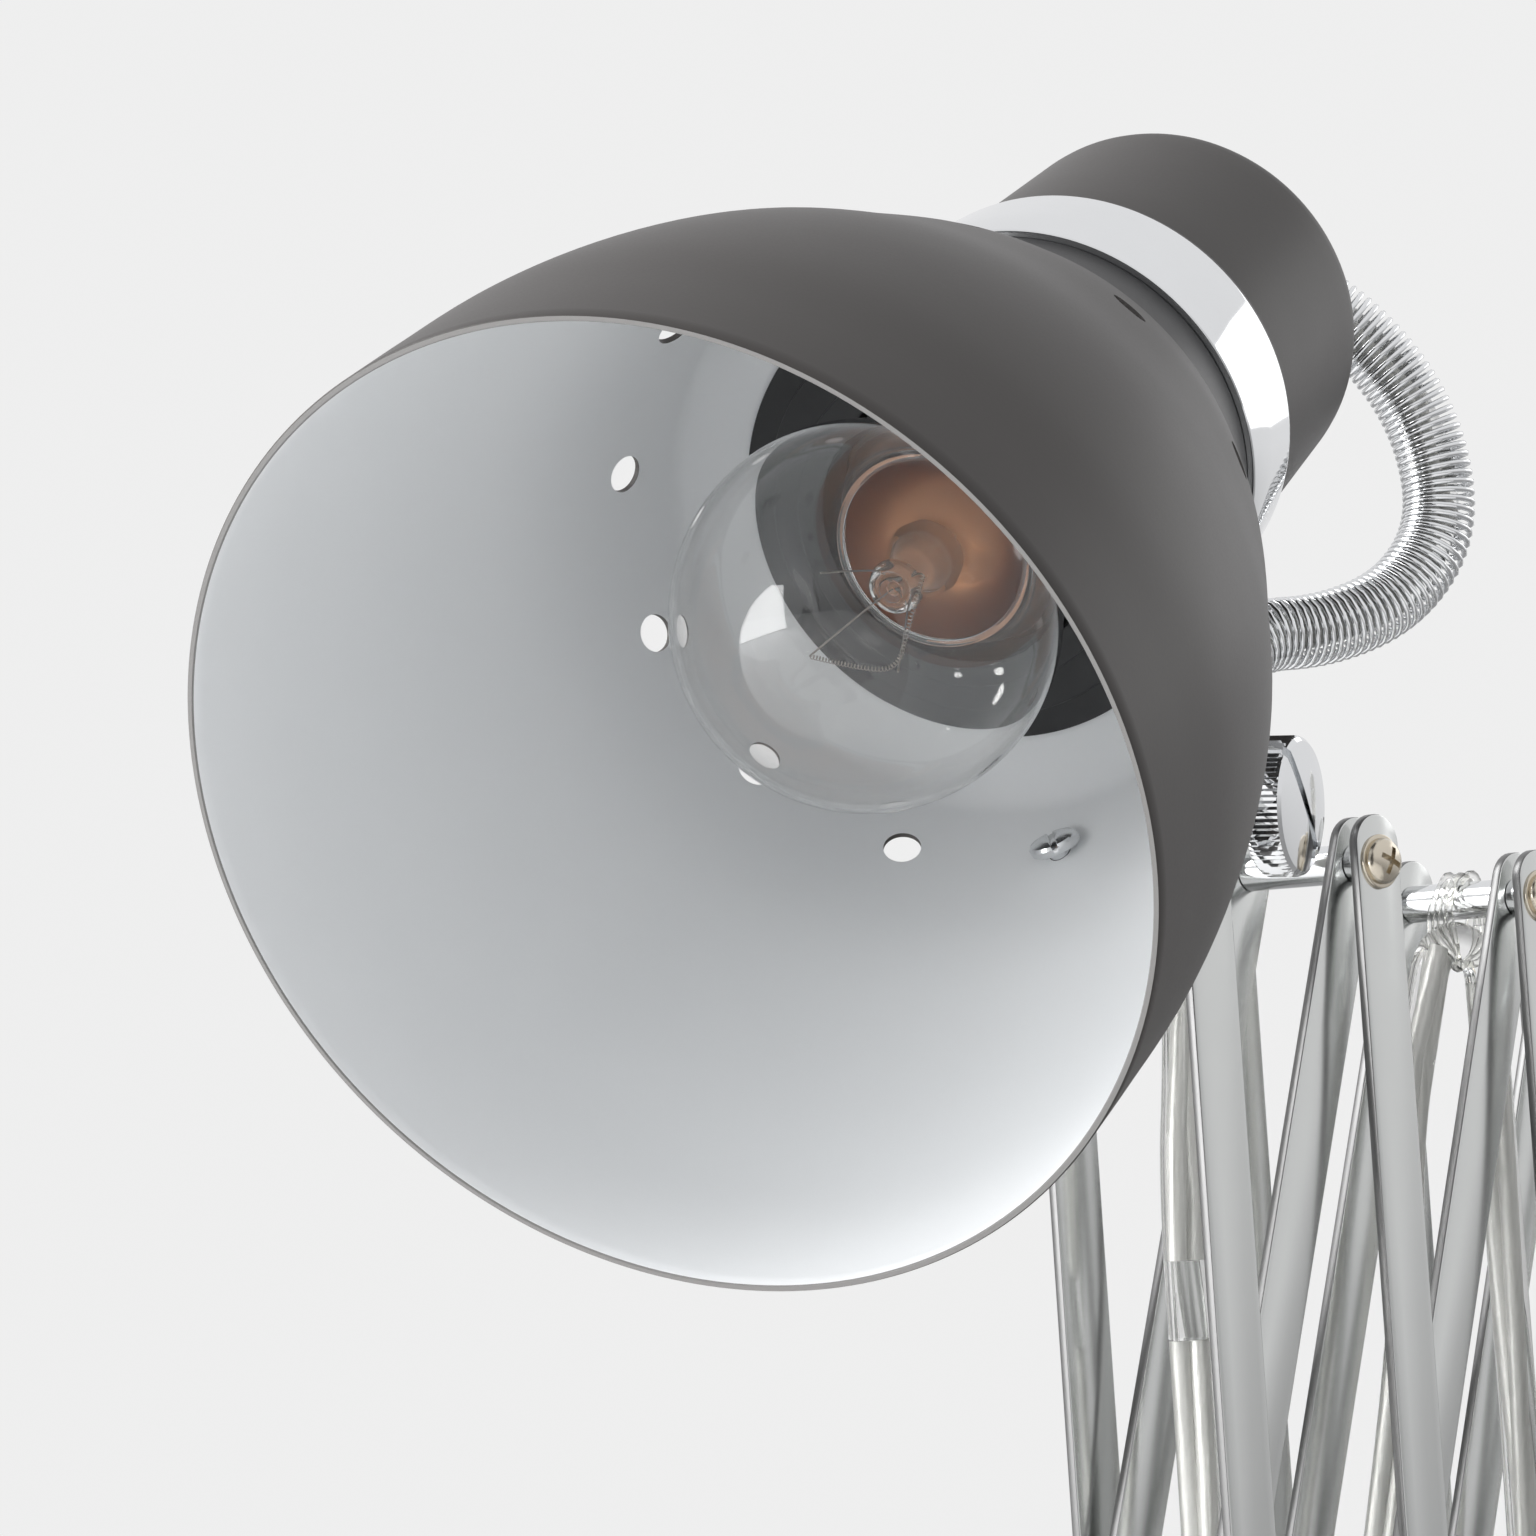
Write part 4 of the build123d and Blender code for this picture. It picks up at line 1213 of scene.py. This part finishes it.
def lofted(sections, sides=48):
    """Solid through flat-sided oval sections of (distance, half width, half height)."""
    points = []
    faces = []
    for distance, wide, high in sections:
        for side in range(sides):
            turn = 2 * pi * side / sides
            c, s = cos(turn), sin(turn)
            x = (abs(c) ** 0.62) * (1 if c >= 0 else -1) * wide
            z = (abs(s) ** 0.78) * (1 if s >= 0 else -1) * high
            points.append(PLUG_START + PLUG_WAY * distance + PLUG_ACROSS * x + RISE * z)
    for row in range(len(sections) - 1):
        for side in range(sides):
            after = (side + 1) % sides
            low = row * sides
            faces.append([low + side, low + after, low + sides + after, low + sides + side])
    faces.append(list(range(sides))[::-1])
    faces.append(list(range(len(points) - sides, len(points))))
    return points, faces


class LAMP_OT_cord(bpy.types.Operator):
    """Free cord from the clamp, put away in a neat coil, with its moulded plug"""

    bl_idname = "lamp.cord"
    bl_label = "Cord, coil and plug"

    def execute(self, context):
        route = free_cord_points()
        curve = route_curve("mains_cord", route)
        curve.bevel_depth = FLEX_RADIUS * MM
        curve.bevel_resolution = 5
        curve.use_fill_caps = True
        curve.materials.append(finish_named("jacket"))
        cord = link_object("mains_cord", curve)
        line = Line(route_line(route), 1.6)
        cores = solid("cord_wires", *conductors(line), [finish_named("strands")], sharp=50)
        keep(cores, "base", "clear_flex")

        ridges = []
        for step in range(7):
            ridges += [(3 + step * 2.2, 5.4 + step * 0.75, 4.4 + step * 0.34)]
            ridges += [(3.9 + step * 2.2, 6.3 + step * 0.75, 5.0 + step * 0.34)]
            ridges += [(4.5 + step * 2.2, 5.6 + step * 0.75, 4.5 + step * 0.34)]
        sections = [(0.1, 4.6, 4.3), (1.6, 5.2, 4.4)] + ridges
        sections += [
            (19.5, 12.4, 7.0), (24, 14.2, 7.5), (30, 16.4, 7.9), (34.8, 17.2, 7.9), (35.7, 16.9, 7.6),
            (36, 16.2, 7.0),
        ]
        plug = solid("moulded_plug", *lofted(sections), [finish_named("plug")], sharp=40)
        keep(plug, "base", "plug_plastic", "plug_body")
        pins = []
        for way in (1, -1):
            spindle = Spindle(PLUG_START + PLUG_ACROSS * 9.5 * way, PLUG_WAY, RISE)
            outline = [(0, 35.9), (2.0, 35.9), (2.0, 51.4), (1.85, 52.3), (1.3, 52.9), (0, 53.0)]
            pins.append(turned(spindle, outline, 40, closed=False))
        pin_piece = solid("round_pins", *merged(pins), [finish_named("nickel")], sharp=50)
        keep(pin_piece, "base", "pin_nickel", "plug_pins")

        keep(cord, "base", "clear_flex", "tail_cord", "cord_coil", "plug_cord")
        return {"FINISHED"}


# ---- stage ----


def lamp_card(name, place, aim, size, power, colour=(1, 1, 1)):
    """A soft rectangular light that looks at a point, in metres."""
    data = bpy.data.lights.new(name, "AREA")
    data.shape = "RECTANGLE"
    data.size, data.size_y = size
    data.energy = power
    data.color = colour
    card = link_object(name, data)
    card.location = place
    card.rotation_mode = "QUATERNION"
    card.rotation_quaternion = (Vector(aim) - Vector(place)).to_track_quat("-Z", "Y")


class LAMP_OT_stage(bpy.types.Operator):
    """Pale desk top, soft studio light and the camera"""

    bl_idname = "lamp.stage"
    bl_label = "Stage, light and camera"

    def execute(self, context):
        look = context.scene.lamp_look
        floor_finish = painted("pale_top", (0.80, 0.80, 0.80), 0.6, spread=0.01)
        points, faces = box_solid(
            Vector((0, -1185.5, -18.6)), Vector((1, 0, 0)), Vector((0, 1, 0)), RISE, (1500, 1200, 18.4),
        )
        top = solid("desk_top", points, faces, [floor_finish])

        world = bpy.data.worlds.new("studio")
        context.scene.world = world
        world.use_nodes = True
        nodes = world.node_tree.nodes
        links = world.node_tree.links
        nodes.clear()
        output = nodes.new("ShaderNodeOutputWorld")
        shown = nodes.new("ShaderNodeBackground")
        shown.inputs["Color"].default_value = (look.backdrop, look.backdrop, look.backdrop, 1)
        lit = nodes.new("ShaderNodeBackground")
        place = nodes.new("ShaderNodeTexCoord")
        split = nodes.new("ShaderNodeSeparateXYZ")
        ramp = nodes.new("ShaderNodeValToRGB")
        stops = ((0.0, 0.30), (0.40, 0.42), (0.49, 0.62), (0.60, 0.92), (1.0, 1.0))
        while len(ramp.color_ramp.elements) < len(stops):
            ramp.color_ramp.elements.new(0.5)
        for element, (position, level) in zip(ramp.color_ramp.elements, stops):
            element.position = position
            element.color = (level, level, level * 1.01, 1)
        shift = nodes.new("ShaderNodeMath")
        shift.operation = "MULTIPLY_ADD"
        shift.inputs[1].default_value = 0.5
        shift.inputs[2].default_value = 0.5
        choose = nodes.new("ShaderNodeMixShader")
        ray = nodes.new("ShaderNodeLightPath")
        links.new(place.outputs["Generated"], split.inputs[0])
        links.new(split.outputs["Z"], shift.inputs[0])
        links.new(shift.outputs[0], ramp.inputs[0])
        links.new(ramp.outputs[0], lit.inputs["Color"])
        lit.inputs["Strength"].default_value = look.ambient
        links.new(ray.outputs["Is Camera Ray"], choose.inputs[0])
        links.new(lit.outputs[0], choose.inputs[1])
        links.new(shown.outputs[0], choose.inputs[2])
        links.new(choose.outputs[0], output.inputs[0])

        lamp_card("key", (-0.9, -1.3, 1.35), (0, -0.25, 0.33), (1.1, 0.9), look.key_power)
        lamp_card("front", (-0.45, -1.35, 0.26), (0, -0.3, 0.36), (1.1, 0.5), look.key_power * 0.45)
        lamp_card("back", (0.2, 1.4, 1.2), (0, -0.2, 0.35), (1.4, 0.7), look.key_power * 0.12)
        context.scene.view_settings.view_transform = "Standard"

        data = bpy.data.cameras.new("camera")
        data.sensor_width = 36.0
        data.lens = 94.0
        data.clip_start = 0.01
        camera = link_object("camera", data)
        right = Vector((0.6478902, 0.7589857, 0.0646454))
        up = Vector((0.0817392, -0.1536483, 0.9847390))
        back = Vector((0.7573354, -0.6327187, -0.1615861))
        turn = Matrix((right, up, back)).transposed()
        camera.matrix_world = Matrix.Translation((0.4864, -0.6862, 0.2549)) @ turn.to_4x4()
        context.scene.camera = camera
        return {"FINISHED"}


# ---- the add-on's own parts ----


class LampLook(bpy.types.PropertyGroup):
    """Sizes and colours that change how the lamp looks"""

    paint_colour: bpy.props.FloatVectorProperty(
        name="Paint", description="Outside of the shade and cap", subtype="COLOR", default=(
            0.052, 0.048, 0.046,
        )
    )
    inside_colour: bpy.props.FloatVectorProperty(
        name="Inside paint", description="Inside of the shade", subtype="COLOR", default=(
            0.80, 0.815, 0.825,
        )
    )
    chrome_colour: bpy.props.FloatVectorProperty(
        name="Chrome", description="Bright plating", subtype="COLOR", default=(0.80, 0.81, 0.82)
    )
    screw_colour: bpy.props.FloatVectorProperty(
        name="Screws", description="Warm nickel of the screws", subtype="COLOR", default=(0.66, 0.60, 0.50)
    )
    wire_colour: bpy.props.FloatVectorProperty(
        name="Flex wires", description="Tinned wires in the flex", subtype="COLOR", default=(
            0.86, 0.86, 0.83,
        )
    )
    paint_roughness: bpy.props.FloatProperty(
        name="Paint roughness", description="Sheen of the outside paint", default=0.43, min=0.05, max=1.0
    )
    spring_wire: bpy.props.FloatProperty(
        name="Spring wire",
        description="Thickness of the spring's wire",
        subtype="DISTANCE",
        unit="LENGTH",
        default=0.0011,
    )
    spring_pitch: bpy.props.FloatProperty(
        name="Spring pitch",
        description="Distance between turns",
        subtype="DISTANCE",
        unit="LENGTH",
        default=0.0016,
    )
    knurl_count: bpy.props.IntProperty(
        name="Knurls", description="Ridges round the knob", default=72, min=12, max=200,
    )
    cord_length: bpy.props.FloatProperty(
        name="Cord", description="Free length of the cord", subtype="DISTANCE", unit="LENGTH", default=1.71
    )
    backdrop: bpy.props.FloatProperty(
        name="Backdrop", description="Brightness behind the lamp", default=0.86,
    )
    ambient: bpy.props.FloatProperty(name="Ambient", description="Light from all round", default=0.9)
    key_power: bpy.props.FloatProperty(
        name="Key light", description="Power of the main light", subtype="POWER", unit="POWER", default=22.0
    )


OPERATORS = (
    LAMP_OT_stage,
    LAMP_OT_cord,
    LAMP_OT_links,
    LAMP_OT_screws,
    LAMP_OT_shade,
    LAMP_OT_head_rings,
    LAMP_OT_bulb,
    LAMP_OT_head_mount,
    LAMP_OT_flex,
    LAMP_OT_spring,
    LAMP_OT_post_and_clamp,
)


class LAMP_PT_panel(bpy.types.Panel):
    """Buttons that build the lamp piece by piece"""

    bl_idname = "LAMP_PT_panel"
    bl_label = "Scissor-arm lamp"
    bl_space_type = "VIEW_3D"
    bl_region_type = "UI"
    bl_category = "Lamp"

    def draw(self, context):
        for operator in OPERATORS:
            self.layout.operator(operator.bl_idname)
        for name in LampLook.__annotations__:
            self.layout.prop(context.scene.lamp_look, name)


def register():
    for cls in (LampLook, *OPERATORS, LAMP_PT_panel):
        bpy.utils.register_class(cls)
    bpy.types.Scene.lamp_look = bpy.props.PointerProperty(type=LampLook)


def unregister():
    del bpy.types.Scene.lamp_look
    for cls in reversed((LampLook, *OPERATORS, LAMP_PT_panel)):
        bpy.utils.unregister_class(cls)


def main():
    register()
    make_finishes(bpy.context.scene.lamp_look)
    for operator in OPERATORS:
        family, name = operator.bl_idname.split(".")
        getattr(getattr(bpy.ops, family), name)()
    bpy.context.view_layer.update()


if __name__ == "__main__":
    main()
